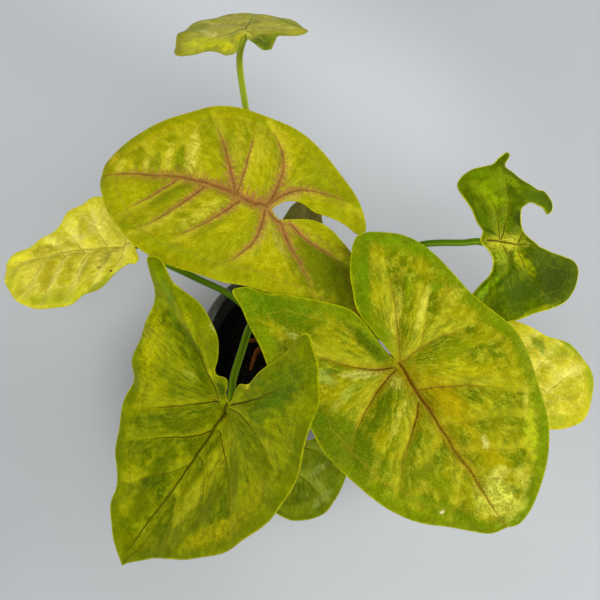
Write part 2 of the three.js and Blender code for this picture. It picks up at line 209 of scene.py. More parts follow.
class Tree:
    """A shader node tree under construction, with a short method for each kind of node."""

    def __init__(self, tree: bpy.types.NodeTree) -> None:
        """Starts on an emptied node tree."""
        self.tree = tree
        tree.nodes.clear()

    def add(self, kind: str, **settings: object) -> bpy.types.Node:
        """Places a node and sets its own properties."""
        node = self.tree.nodes.new(kind)
        for name, value in settings.items():
            setattr(node, name, value)
        return node

    def feed(self, socket: bpy.types.NodeSocket, value: object) -> None:
        """Links a socket to another one, or sets it to a plain value."""
        if isinstance(value, bpy.types.NodeSocket):
            self.tree.links.new(value, socket)
        elif value is not None:
            socket.default_value = value

    def math(self, operation: str, a: object, b: object = None,
             clamp: bool = False) -> bpy.types.NodeSocket:
        """Places a Math node on one or two values."""
        node = self.add("ShaderNodeMath", operation=operation, use_clamp=clamp)
        self.feed(node.inputs[0], a)
        self.feed(node.inputs[1], b)
        return node.outputs[0]

    def times(self, a: object, b: object, clamp: bool = False) -> bpy.types.NodeSocket:
        """Multiplies two values."""
        return self.math("MULTIPLY", a, b, clamp)

    def plus(self, a: object, b: object) -> bpy.types.NodeSocket:
        """Adds two values."""
        return self.math("ADD", a, b)

    def minus(self, a: object, b: object) -> bpy.types.NodeSocket:
        """Takes the second value from the first."""
        return self.math("SUBTRACT", a, b)

    def vector(self, operation: str, a: object, b: object = None,
               output: str = "Vector") -> bpy.types.NodeSocket:
        """Places a Vector Math node on one or two vectors."""
        node = self.add("ShaderNodeVectorMath", operation=operation)
        self.feed(node.inputs[0], a)
        if operation == "SCALE":
            self.feed(node.inputs["Scale"], b)
        else:
            self.feed(node.inputs[1], b)
        return node.outputs[output]

    def rise(self, value: object, low: object, high: object, bottom: float = 0.0,
             top: float = 1.0) -> bpy.types.NodeSocket:
        """Maps a value softly from the range low to high onto bottom to top."""
        node = self.add("ShaderNodeMapRange", interpolation_type="SMOOTHSTEP", clamp=True)
        for socket, given in zip(node.inputs, (value, low, high, bottom, top)):
            self.feed(socket, given)
        return node.outputs[0]

    def fall(self, value: object, low: object, high: object) -> bpy.types.NodeSocket:
        """Falls softly from 1 at low to 0 at high."""
        return self.rise(value, low, high, 1.0, 0.0)

    def length(self, vector: object) -> bpy.types.NodeSocket:
        """Measures a vector."""
        return self.vector("LENGTH", vector, output="Value")

    def blend(self, share: object, under: object, over: object,
              kind: str = "MIX") -> bpy.types.NodeSocket:
        """Lays one colour over another by a share from 0 to 1."""
        node = self.add("ShaderNodeMix", data_type="RGBA", blend_type=kind)
        by_name = {s.identifier: s for s in node.inputs}
        self.feed(by_name["Factor_Float"], share)
        self.feed(by_name["A_Color"], under)
        self.feed(by_name["B_Color"], over)
        return next(s for s in node.outputs if s.identifier == "Result_Color")

    def cloud(self, vector: object, size: object, detail: float = 2.0,
              rough: float = 0.5) -> bpy.types.NodeSocket:
        """Places a Noise Texture whose cells are about `size` of the vector's units."""
        scale = self.math("DIVIDE", 1.0, size) if isinstance(size, bpy.types.NodeSocket) \
            else 1.0 / size
        node = self.add("ShaderNodeTexNoise", noise_dimensions="3D")
        self.give(node, vector=vector, scale=scale, detail=detail, roughness=rough)
        return node.outputs["Fac"]

    def split(self, vector: bpy.types.NodeSocket) -> tuple[bpy.types.NodeSocket, ...]:
        """Takes a vector apart into its x, y and z."""
        node = self.add("ShaderNodeSeparateXYZ")
        self.feed(node.inputs[0], vector)
        return tuple(node.outputs)

    def join(self, x: object, y: object, z: object = 0.0) -> bpy.types.NodeSocket:
        """Puts a vector together from its x, y and z."""
        node = self.add("ShaderNodeCombineXYZ")
        for socket, given in zip(node.inputs, (x, y, z)):
            self.feed(socket, given)
        return node.outputs[0]

    def seat(self, vector: object, at: object = None, turn: object = None,
             size: object = None) -> bpy.types.NodeSocket:
        """Measures a place from another origin, turned and in other units."""
        node = self.add("ShaderNodeMapping", vector_type="TEXTURE")
        for socket, given in zip(node.inputs, (vector, at, turn, size)):
            self.feed(socket, given)
        return node.outputs[0]

    def larger(self, so_far: bpy.types.NodeSocket | None,
               value: bpy.types.NodeSocket) -> bpy.types.NodeSocket:
        """Joins a mask with the ones joined so far, by the larger value."""
        return value if so_far is None else self.math("MAXIMUM", so_far, value)

    def give(self, node: bpy.types.Node, **values: object) -> bpy.types.Node:
        """Feeds a node's inputs by name, each name in small letters."""
        for name, value in values.items():
            self.feed(node.inputs[name.capitalize()], value)
        return node

    def place(self, group: bpy.types.NodeTree, **values: object) -> bpy.types.Node:
        """Places a shared node group and feeds its inputs by name."""
        return self.give(self.add("ShaderNodeGroup", node_tree=group), **values)

    def position(self) -> bpy.types.NodeSocket:
        """The place on the piece in metres, in the frame that all pieces share."""
        return self.add("ShaderNodeTexCoord").outputs["Object"]

    def attribute(self, name: str) -> bpy.types.Node:
        """Reads a value that the piece's own corners carry."""
        return self.add("ShaderNodeAttribute", attribute_type="GEOMETRY", attribute_name=name)


class Kind(Enum):
    """The kinds of socket that a shared pattern takes and gives."""

    NUMBER = "NodeSocketFloat"
    VECTOR = "NodeSocketVector"


class Pattern:
    """The node groups that several finishes share; each is made once."""

    @staticmethod
    def begin(name: str, inputs: dict[str, Kind], outputs: Sequence[str]) \
            -> tuple[Tree, dict[str, bpy.types.NodeSocket], bpy.types.Node]:
        """Opens a new group.

        Args:
            name: The group's name.
            inputs: Each input's name and kind.
            outputs: The names of the numbers that it gives.

        Returns:
            The tree, its input sockets by name, and the node that takes the outputs.
        """
        group = bpy.data.node_groups.new(name, "ShaderNodeTree")
        for label, kind in inputs.items():
            group.interface.new_socket(name=label, in_out="INPUT", socket_type=kind.value)
        for label in outputs:
            group.interface.new_socket(name=label, in_out="OUTPUT",
                                       socket_type=Kind.NUMBER.value)
        tree = Tree(group)
        start = tree.add("NodeGroupInput")
        end = tree.add("NodeGroupOutput")
        return tree, {s.name: s for s in start.outputs if s.name}, end

    @classmethod
    @cache
    def vein(cls) -> bpy.types.NodeTree:
        """A vein: a sagging line between two points of the flat leaf, thinning along it.

        It also masks the leaf on its two sides: the one for painted shade and the one for a painted
        highlight.
        """
        t, i, end = cls.begin(
            "leaf vein",
            {"Flat": Kind.VECTOR, "Start": Kind.VECTOR, "End": Kind.VECTOR,
             "Turn": Kind.VECTOR, "Sag": Kind.NUMBER, "Width": Kind.NUMBER,
             "Hand": Kind.NUMBER},
            ("Line", "Halo", "Along", "Shade", "Glow"))
        whole = t.vector("SUBTRACT", i["End"], i["Start"])
        length = t.length(whole)
        course = t.vector("NORMALIZE", whole)
        offset = t.vector("SUBTRACT", i["Flat"], i["Start"])
        reach = t.vector("DOT_PRODUCT", offset, course, "Value")
        raw = t.math("DIVIDE", reach, length)
        along = t.times(raw, 1.0, clamp=True)
        across = t.split(t.vector("CROSS_PRODUCT", course, offset))[2]
        hump = t.times(t.times(along, t.minus(1.0, along)), 4.0)
        aside = t.minus(across, t.times(hump, i["Sag"]))
        past = t.times(t.minus(raw, along), length)
        distance = t.math("SQRT", t.plus(t.times(aside, aside), t.times(past, past)))
        width = t.times(i["Width"], t.minus(1.0, t.times(along, 0.6)))
        line = t.fall(distance, t.times(width, 0.1), t.times(width, 0.8))
        combed = t.seat(i["Flat"], i["Start"], i["Turn"], (1.4, 6.0, 1.0))
        feather = t.rise(t.cloud(combed, 1.0, 3.0, 0.6), 0.36, 0.64, 1.2, 6.0)
        halo = t.fall(distance, t.times(width, 0.6), t.times(width, feather))
        ends = t.fall(t.math("ABSOLUTE", past), 0.0, 5.0)
        ahead = t.times(aside, i["Hand"])
        before = t.times(ahead, -1.0)
        shade = t.times(t.rise(ahead, -0.3, 1.2), t.fall(ahead, 2.0, 13.0))
        glow = t.times(t.rise(before, -0.3, 1.0), t.fall(before, 0.8, 8.0))
        t.give(end, shade=t.times(shade, ends), glow=t.times(glow, ends), line=line, halo=halo,
               along=along)
        return t.tree

    @classmethod
    @cache
    def mottle(cls) -> bpy.types.NodeTree:
        """Variegation: broad clouded patches, broken small ones, and fine flecks."""
        t, i, end = cls.begin(
            "leaf mottle",
            {"Flat": Kind.VECTOR, "Patch": Kind.NUMBER, "Balance": Kind.NUMBER},
            ("Patches", "Flecks", "Clouds", "Grain", "Light"))
        broad = t.cloud(i["Flat"], i["Patch"], 3.0, 0.6)
        small = t.cloud(i["Flat"], 4.6, 4.0, 0.7)
        fine = t.cloud(i["Flat"], 1.1, 2.0, 0.7)
        x, y, _ = t.split(i["Flat"])
        polar = t.join(t.times(t.math("ARCTAN2", y, x), 16.0), t.times(t.length(i["Flat"]), 0.16))
        rays = t.cloud(polar, 1.0, 4.0, 0.65)
        fans = t.cloud(polar, 2.6, 3.0, 0.6)
        mixed = t.plus(t.plus(t.times(broad, 0.26), t.times(fans, 0.3)),
                       t.plus(t.times(small, 0.26), t.times(fine, 0.18)))
        patches = t.rise(t.plus(mixed, i["Balance"]), 0.46, 0.54)
        light = t.plus(t.plus(t.times(t.rise(small, 0.3, 0.7), 0.35),
                              t.times(t.rise(fine, 0.3, 0.7), 0.25)),
                       t.plus(t.times(t.rise(rays, 0.3, 0.7), 0.2),
                              t.times(t.rise(fans, 0.35, 0.65), 0.2)))
        grain = t.plus(t.times(fine, 0.55), t.times(small, 0.45))
        streaks = t.plus(t.times(rays, 0.65), t.times(fine, 0.35))
        t.give(end, patches=patches, light=light, flecks=t.rise(streaks, 0.46, 0.62),
               clouds=broad, grain=grain)
        return t.tree

    @classmethod
    @cache
    def margin(cls) -> bpy.types.NodeTree:
        """The edge of a blade: a thin rim, partly painted edge light, a plain band inside it, and the
        collecting vein.
        """
        t, i, end = cls.begin(
            "leaf margin",
            {"Flat": Kind.VECTOR, "Inset": Kind.NUMBER, "Band": Kind.NUMBER,
             "Rim": Kind.NUMBER},
            ("Rim", "Band", "Collector"))
        wander = t.times(t.minus(t.cloud(i["Flat"], 12.0, 2.0), 0.5), 5.0)
        inset = t.plus(i["Inset"], wander)
        rim = t.fall(i["Inset"], t.times(i["Rim"], 0.4), i["Rim"])
        band = t.fall(inset, t.times(i["Band"], 0.45), i["Band"])
        gap = t.math("ABSOLUTE", t.minus(inset, i["Band"]))
        t.give(end, rim=rim, band=band, collector=t.fall(gap, 0.15, 0.6))
        return t.tree

    @classmethod
    @cache
    def tint_and_light_patch(cls) -> bpy.types.NodeTree:
        """A soft oval patch with a ragged border, set on the flat leaf."""
        t, i, end = cls.begin(
            "leaf blush",
            {"Flat": Kind.VECTOR, "Centre": Kind.VECTOR, "Size": Kind.VECTOR,
             "Turn": Kind.NUMBER},
            ("Mask",))
        offset = t.vector("SUBTRACT", i["Flat"], i["Centre"])
        angle = t.times(i["Turn"], -1.0)
        turned = t.add("ShaderNodeVectorRotate", rotation_type="Z_AXIS")
        t.give(turned, vector=offset, angle=angle)
        reach = t.length(t.vector("DIVIDE", turned.outputs[0], i["Size"]))
        ragged = t.times(t.minus(t.cloud(i["Flat"], 4.0, 3.0, 0.6), 0.5), 1.3)
        t.give(end, mask=t.fall(t.plus(reach, ragged), 0.38, 1.22))
        return t.tree

    @classmethod
    @cache
    def skin(cls) -> bpy.types.NodeTree:
        """The fine net of veinlets and the uneven gloss between them."""
        t, i, end = cls.begin("leaf skin", {"Flat": Kind.VECTOR, "Cell": Kind.NUMBER},
                              ("Net", "Gloss"))
        drift = t.give(t.add("ShaderNodeTexNoise"), vector=i["Flat"], scale=0.25)
        bent = t.vector("ADD", i["Flat"], t.vector("SCALE", drift.outputs["Color"], 2.4))
        scale = t.math("DIVIDE", 1.0, i["Cell"])
        cells = t.add("ShaderNodeTexVoronoi", feature="DISTANCE_TO_EDGE")
        t.give(cells, vector=bent, scale=scale)
        t.give(end, net=t.fall(cells.outputs["Distance"], 0.02, 0.16),
               gloss=t.cloud(i["Flat"], 6.0, 3.0, 0.6))
        return t.tree

    @classmethod
    @cache
    def scuff(cls) -> bpy.types.NodeTree:
        """Dust and handling marks: a slow cloud broken up by a fine one."""
        t, i, end = cls.begin("scuff", {"Position": Kind.VECTOR, "Size": Kind.NUMBER},
                              ("Marks", "Grain"))
        slow = t.cloud(i["Position"], i["Size"], 4.0, 0.6)
        fine = t.cloud(i["Position"], t.times(i["Size"], 0.09), 3.0, 0.65)
        marks = t.rise(t.plus(t.times(slow, 0.7), t.times(fine, 0.3)), 0.45, 0.65)
        t.give(end, marks=marks, grain=fine)
        return t.tree


def open_material(name: str) -> tuple[bpy.types.Material, Tree, bpy.types.Node]:
    """Opens a material with a Principled BSDF on its output."""
    material = bpy.data.materials.new(name)
    material.use_nodes = True
    tree = Tree(material.node_tree)
    shader = tree.add("ShaderNodeBsdfPrincipled")
    end = tree.add("ShaderNodeOutputMaterial")
    tree.feed(end.inputs["Surface"], shader.outputs["BSDF"])
    return material, tree, shader


def dress(tree: Tree, shader: bpy.types.Node, colour: object, roughness: object,
          sheen: float | None = None, tint: object = None) -> None:
    """Gives a shader its colour and its gloss.

    Args:
        tree: The tree that the shader stands in.
        shader: The shader.
        colour: Its base colour.
        roughness: How dull it is, from 0 to 1.
        sheen: How strongly it mirrors, from 0 to 1; left as it is where none is given.
        tint: The colour of what it mirrors; left as it is where none is given.
    """
    for name, value in (("Base Color", colour), ("Roughness", roughness),
                        ("Specular IOR Level", sheen), ("Specular Tint", tint)):
        tree.feed(shader.inputs[name], value)


def add_bump(tree: Tree, shader: bpy.types.Node, height: object, depth_mm: float,
             strength: float) -> None:
    """Lets a height from 0 to 1 disturb a shader's normal by a depth in millimetres."""
    bump = tree.add("ShaderNodeBump")
    tree.give(bump, strength=strength, distance=depth_mm * MM, height=height)
    tree.feed(shader.inputs["Normal"], bump.outputs["Normal"])


# -------- what a leaf is

@dataclass(frozen=True)
class Vein:
    """A vein drawn on the flat leaf, in millimetres."""

    start: Point
    end: Point
    sag: float = 0.0
    width: float = 0.8
    depth: float = 1.0
    # How much painted shade and painted highlight the panels beside the vein take.
    shade: float = 0.75
    glow: float = 0.75
    ink: float = 1.0

    @property
    def hand(self) -> float:
        """1 where the leaf's tip lies to the left of the vein's course, -1 to its right."""
        return -1.0 if self.end[1] > self.start[1] else 1.0

    @property
    def bearing(self) -> float:
        """The direction of the vein's course, in radians."""
        return math.atan2(self.end[1] - self.start[1], self.end[0] - self.start[0])

    def measure(self, flat: np.ndarray) -> tuple[np.ndarray, np.ndarray]:
        """Distances of flat points from this vein.

        Args:
            flat: Points on the flat leaf, one row each.

        Returns:
            How far each is from the vein, and how far along it, from 0 to 1.
        """
        start, end = np.array(self.start, float), np.array(self.end, float)
        length = float(np.linalg.norm(end - start))
        course = (end - start) / length
        offset = flat - start
        raw = offset @ course / length
        along = np.clip(raw, 0, 1)
        aside = course[0] * offset[:, 1] - course[1] * offset[:, 0]
        aside = aside - 4 * self.sag * along * (1 - along)
        return np.hypot(aside, (raw - along) * length), along

    def points(self, step: float) -> np.ndarray:
        """Places on the vein's centre line, about a step apart."""
        start, end = np.array(self.start, float), np.array(self.end, float)
        length = float(np.linalg.norm(end - start))
        along = np.linspace(0, 1, max(2, round(length / step)))[:, None]
        left = np.array([start[1] - end[1], end[0] - start[0]]) / length
        return start + (end - start) * along + left * 4 * self.sag * along * (1 - along)


@dataclass(frozen=True)
class TintAndLightPatch:
    """A soft patch on the flat leaf, in millimetres and degrees; some are the leaf's own colouring,
    others painted shade and painted highlights.
    """

    centre: Point
    size: Point
    turn: float
    colour: Colour
    strength: float


def patches(*rows: tuple[float, ...]) -> tuple[TintAndLightPatch, ...]:
    """Lists soft patches: the leaf's own colouring, painted shade and painted highlights.

    Args:
        rows: For each patch the x and y of its centre, its half length and half width, its
            turn, its red, green and blue, and its strength.

    Returns:
        The patches, in the order in which they are laid.
    """
    return tuple(TintAndLightPatch((x, y), (long, wide), turn, (red, green, blue), strength)
                 for x, y, long, wide, turn, red, green, blue, strength in rows)


@dataclass(frozen=True)
class Relief:
    """How far a blade leaves its plain curved surface, in millimetres."""

    quilt: float = 0.8
    spread: float = 3.6
    wave: float = 0.6
    wave_length: float = 34.0
    wave_phase: float = 0.0
    ripple: float = 0.8
    ripple_size: float = 26.0
    rolled: float = 0.6
    seed: float = 0.0


@dataclass(frozen=True)
class Crease:
    """A fold that lifts one side of a line, in millimetres on the flat leaf."""

    start: Point
    end: Point
    height: float
    spread: float
    edge: float


@dataclass(frozen=True)
class LeafFinish:
    """The colours and gloss of a leaf's upper and lower faces."""

    name: str
    slot: str
    ground: Colour
    deep: Colour
    pale: Colour
    band: Colour
    rim: Colour
    vein_near: Colour
    vein_far: Colour
    halo: Colour
    underside: Colour
    balance: float = 0.0
    patch: float = 16.0
    patch_share: float = 0.85
    fleck_share: float = 0.3
    band_share: float = 0.5
    band_width: float = 9.0
    halo_share: float = 0.4
    vein_share: float = 0.9
    vein_reach: float = 0.8
    rim_width: float = 0.9
    rim_share: float = 0.6
    net_share: float = 0.08
    shade_share: float = 0.7
    glow_share: float = 0.7
    gloss: float = 0.36
    sheen: float = 0.05
    grain_share: float = 0.32

    def upper(self, leaf: "Leaf") -> bpy.types.Material:
        """Builds the upper face.

        Args:
            leaf: The leaf whose veins and patches are drawn.

        Returns:
            The material.
        """
        material, t, shader = open_material(f"{leaf.name}_{self.name}_upper")
        flat, inset = self._flat(t, leaf)
        mottle = t.place(Pattern.mottle(), flat=flat, patch=self.patch, balance=self.balance)
        skin = t.place(Pattern.skin(), flat=flat, cell=1.8)
        margin = t.place(Pattern.margin(), flat=flat, inset=inset, band=self.band_width,
                         rim=self.rim_width)
        colour = t.blend(t.times(mottle.outputs["Patches"], self.patch_share),
                         paint(self.ground), paint(self.deep))
        band = t.times(margin.outputs["Band"], self.band_share)
        colour = t.blend(band, colour, paint(self.band))
        line, halo, near, shade, glow = self._veins(t, leaf, flat)
        grain = t.rise(t.plus(t.times(mottle.outputs["Grain"], 0.7),
                              t.times(mottle.outputs["Clouds"], 0.3)), 0.4, 0.56)
        # Painted shade on the tip side of each vein and a painted highlight on its other side stand in
        # for the quilted panels lit from one side; they also carry some of the leaf's own green and
        # yellow zoning.
        dim = t.times(shade, t.plus(t.times(grain, 0.6), 0.4))
        colour = t.blend(t.times(dim, self.shade_share), colour, paint(self.deep))
        bright = t.minus(1.1, t.times(grain, 0.7))
        colour = t.blend(t.times(t.times(glow, bright), self.glow_share), colour,
                         paint(self.pale))
        flecks = t.times(mottle.outputs["Flecks"],
                         t.minus(self.fleck_share,
                                 t.times(margin.outputs["Band"], 0.8 * self.fleck_share)))
        colour = t.blend(flecks, colour, paint(self.pale))
        colour = self._patches(t, leaf, flat, mottle.outputs["Light"], colour)
        net = t.times(skin.outputs["Net"], self.net_share)
        colour = t.blend(net, colour, paint(self.pale))
        colour = t.blend(t.times(halo, self.halo_share), colour, paint(self.halo))
        ink = t.blend(near, paint(self.vein_far), paint(self.vein_near))
        collector = t.times(margin.outputs["Collector"], 0.35 * self.vein_share)
        colour = t.blend(collector, colour, paint(self.vein_far))
        colour = t.blend(t.times(line, self.vein_share), colour, ink)
        # The thin pale rim is partly the leaf's own yellow margin and partly a painted highlight of
        # light glowing through the thin edge; the slow clouds break it up along its run.
        rim_breakup = t.rise(mottle.outputs["Clouds"], 0.35, 0.65, 0.35, 1.0)
        rim = t.times(t.times(margin.outputs["Rim"], rim_breakup), self.rim_share)
        colour = t.blend(rim, colour, paint(self.rim))
        light = t.rise(mottle.outputs["Light"], 0.0, 1.0, 1.0 - self.grain_share,
                       1.0 + self.grain_share)
        colour = t.blend(1.0, colour, light, "MULTIPLY")
        rough = t.rise(skin.outputs["Gloss"], 0.3, 0.7, self.gloss - 0.07, self.gloss + 0.1)
        dress(t, shader, colour, rough, self.sheen, LEAF_TINT)
        height = t.minus(t.times(mottle.outputs["Grain"], 0.8),
                         t.plus(t.times(line, 0.5), t.times(skin.outputs["Net"], 0.05)))
        add_bump(t, shader, height, 0.5, 0.9)
        return material

    def lower(self, leaf: "Leaf") -> bpy.types.Material:
        """Builds the paler, duller lower face with its raised veins."""
        material, t, shader = open_material(f"{leaf.name}_{self.name}_lower")
        flat, inset = self._flat(t, leaf)
        mottle = t.place(Pattern.mottle(), flat=flat, patch=self.patch, balance=self.balance)
        skin = t.place(Pattern.skin(), flat=flat, cell=2.6)
        line, halo, *_ = self._veins(t, leaf, flat)
        colour = t.blend(t.times(mottle.outputs["Patches"], 0.35), paint(self.underside),
                         paint(self.deep))
        colour = t.blend(t.times(halo, 0.3), colour, paint(self.pale))
        colour = t.blend(t.times(line, 0.7), colour, paint(self.pale))
        colour = t.blend(t.times(skin.outputs["Net"], 0.15), colour, paint(self.ground))
        rough = t.rise(skin.outputs["Gloss"], 0.3, 0.7, 0.45, 0.6)
        dress(t, shader, colour, rough, self.sheen, LEAF_TINT)
        height = t.plus(t.times(line, 0.8), t.times(skin.outputs["Net"], 0.2))
        add_bump(t, shader, height, 0.4, 0.8)
        return material

    @staticmethod
    def _flat(t: Tree, leaf: "Leaf") -> tuple[bpy.types.NodeSocket, bpy.types.NodeSocket]:
        """The place on the flat leaf, wandering a little as real veins do, and the inset."""
        x, y, inset = t.split(t.attribute("flat").outputs["Vector"])
        level = t.join(x, y)
        wander = t.give(t.add("ShaderNodeTexNoise"), vector=level, scale=0.07, detail=1.0)
        shift = t.vector("MULTIPLY", t.vector("SUBTRACT", wander.outputs["Color"],
                                              (0.5, 0.5, 0.5)), (2.6, 2.6, 0.0))
        return t.seat(t.vector("ADD", level, shift)), inset

    def _patches(self, t: Tree, leaf: "Leaf", flat: bpy.types.NodeSocket,
                 light: bpy.types.NodeSocket, colour: bpy.types.NodeSocket) \
            -> bpy.types.NodeSocket:
        """Lays the leaf's soft patches, those paler than the ground more broken; some are its own
        colouring, others painted shade and painted highlights.

        Args:
            t: The tree to draw in.
            leaf: The leaf.
            flat: The place on the flat leaf.
            light: The fine lights and darks of the mottling.
            colour: What the patches lie on.

        Returns:
            The colour with the patches on it.
        """
        even = t.rise(light, 0.15, 0.55, 0.78, 1.0)
        broken = t.rise(light, 0.3, 0.62, 0.4, 1.0)
        # Some patches are the leaf's own colouring; others are painted shade in hollows, folds and the
        # shadows of other leaves, and painted highlights where the gloss catches the light.
        for tint_and_light_patch in leaf.tint_and_light_patches:
            spot = t.place(Pattern.tint_and_light_patch(), flat=flat, centre=(*tint_and_light_patch.centre, 0.0),
                           size=(*tint_and_light_patch.size, 1.0), turn=math.radians(tint_and_light_patch.turn))
            paler = sum(tint_and_light_patch.colour) > sum(self.ground) + 30
            share = t.times(spot.outputs["Mask"],
                            t.times(broken if paler else even, tint_and_light_patch.strength))
            colour = t.blend(share, colour, paint(tint_and_light_patch.colour))
        return colour

    def _veins(self, t: Tree, leaf: "Leaf", flat: bpy.types.NodeSocket) \
            -> tuple[bpy.types.NodeSocket, ...]:
        """Draws the leaf's veins.

        Args:
            t: The tree to draw in.
            leaf: The leaf.
            flat: The place on the flat leaf.

        Returns:
            Masks of the vein lines, of the stain round them, of their part near the stalk, and
            of the panels' sides that take painted shade and a painted highlight.
        """
        line = halo = near = shade = glow = None
        for i, vein in enumerate(leaf.veins):
            drawn = t.place(Pattern.vein(), flat=flat, start=(*vein.start, 0.0),
                            end=(*vein.end, 0.0), turn=(0.0, 0.0, vein.bearing), sag=vein.sag,
                            width=vein.width, hand=vein.hand)
            if i:
                shade = t.larger(shade, t.times(drawn.outputs["Shade"], vein.shade))
                glow = t.larger(glow, t.times(drawn.outputs["Glow"], vein.glow))
            thin = t.rise(drawn.outputs["Along"], 0.65 if i else 0.85, 1.0,
                          0.4 + 0.6 * vein.ink, 0.0 if i else 0.4)
            line = t.larger(line, t.times(drawn.outputs["Line"], thin))
            fading = t.fall(drawn.outputs["Along"], 0.1, self.vein_reach if i else 1.7)
            stain = t.times(t.times(fading, thin), vein.ink)
            halo = t.larger(halo, t.times(drawn.outputs["Halo"], stain))
            near = t.larger(near, t.times(drawn.outputs["Line"], stain))
        ragged = t.rise(t.cloud(flat, 1.6, 3.0, 0.7), 0.3, 0.55, 0.55, 1.0)
        return line, t.times(halo, ragged), near, shade, glow


@dataclass(frozen=True)
class Half:
    """One side of a flat leaf, from the cleft at the stalk round the lobe to the tip."""

    sinus: tuple[Point, ...]
    side: tuple[Point, ...]


@dataclass(frozen=True)
class Leaf:
    """A leaf: its flat outline, how it is bent and where it sits, its veins and colours."""

    name: str
    at: Place
    heading: float
    pitch: float
    roll: float
    droop: float
    twist: float
    fold: Point
    arch: Point
    reach: float
    half: float
    notch: Point
    tip: Point
    left: Half
    right: Half
    stalk: tuple[Place, ...]
    angle: float
    veins: tuple[Vein, ...]
    finish: LeafFinish
    stalk_finish: "StalkFinish"
    lobe_droop: float = 0.0
    entry: tuple[float, ...] = (6.0, 4.0)
    relief: Relief = field(default_factory=Relief)
    creases: tuple[Crease, ...] = ()
    tint_and_light_patches: tuple[TintAndLightPatch, ...] = ()

    def axes(self) -> tuple[np.ndarray, np.ndarray, np.ndarray]:
        """The directions of the leaf's midrib, of its left and of its upper face."""
        heading, pitch, roll = (math.radians(a) for a in (self.heading, self.pitch, self.roll))
        along = np.array([math.cos(heading) * math.cos(pitch),
                          math.sin(heading) * math.cos(pitch), math.sin(pitch)])
        level = np.array([-math.sin(heading), math.cos(heading), 0.0])
        upright = np.cross(along, level)
        left = level * math.cos(roll) + upright * math.sin(roll)
        return along, left, np.cross(along, left)

    def carry(self, flat: np.ndarray) -> np.ndarray:
        """Carries flat points into space: folded, arched, twisted and drooped.

        Args:
            flat: Points on the flat leaf in millimetres, one row each.

        Returns:
            Their places over the pot, in millimetres.
        """
        x, y = flat[:, 0], flat[:, 1]
        reach = np.where(x >= 0, math.radians(self.droop), math.radians(self.lobe_droop))
        bend = reach / self.reach
        bend = np.where(np.abs(bend) < 1e-7, 1e-7, bend)
        on_left = y >= 0
        fold = np.where(on_left, *(math.radians(f) for f in self.fold))
        curl = np.where(on_left, *(math.radians(a) / self.half for a in self.arch))
        out = np.abs(y)
        across = (np.sin(fold) - np.sin(fold - curl * out)) / curl * np.where(on_left, 1, -1)
        lift = (np.cos(fold - curl * out) - np.cos(fold)) / curl
        turn = math.radians(self.twist) * x / self.reach
        sideways = across * np.cos(turn) - lift * np.sin(turn)
        rise = across * np.sin(turn) + lift * np.cos(turn)
        angle = bend * x
        forward = np.sin(angle) / bend + rise * np.sin(angle)
        up = -(1 - np.cos(angle)) / bend + rise * np.cos(angle)
        along, left, upper = self.axes()
        return (np.array(self.at) + forward[:, None] * along + sideways[:, None] * left
                + up[:, None] * upper)

    def normals(self, flat: np.ndarray) -> np.ndarray:
        """The upper face's direction at flat points."""
        step = 0.2
        ahead, aside = np.array([step, 0.0]), np.array([0.0, step])
        run = self.carry(flat + ahead) - self.carry(flat - ahead)
        span = self.carry(flat + aside) - self.carry(flat - aside)
        normal = np.cross(run, span)
        return normal / np.linalg.norm(normal, axis=1)[:, None]

    def under(self, down: float, back: float, aside: float = 0.0) -> Place:
        """A point below, behind and to the left of where the stalk meets the blade."""
        along, left, upper = self.axes()
        return tuple(np.array(self.at) - upper * down - along * back + left * aside)


# -------- blades

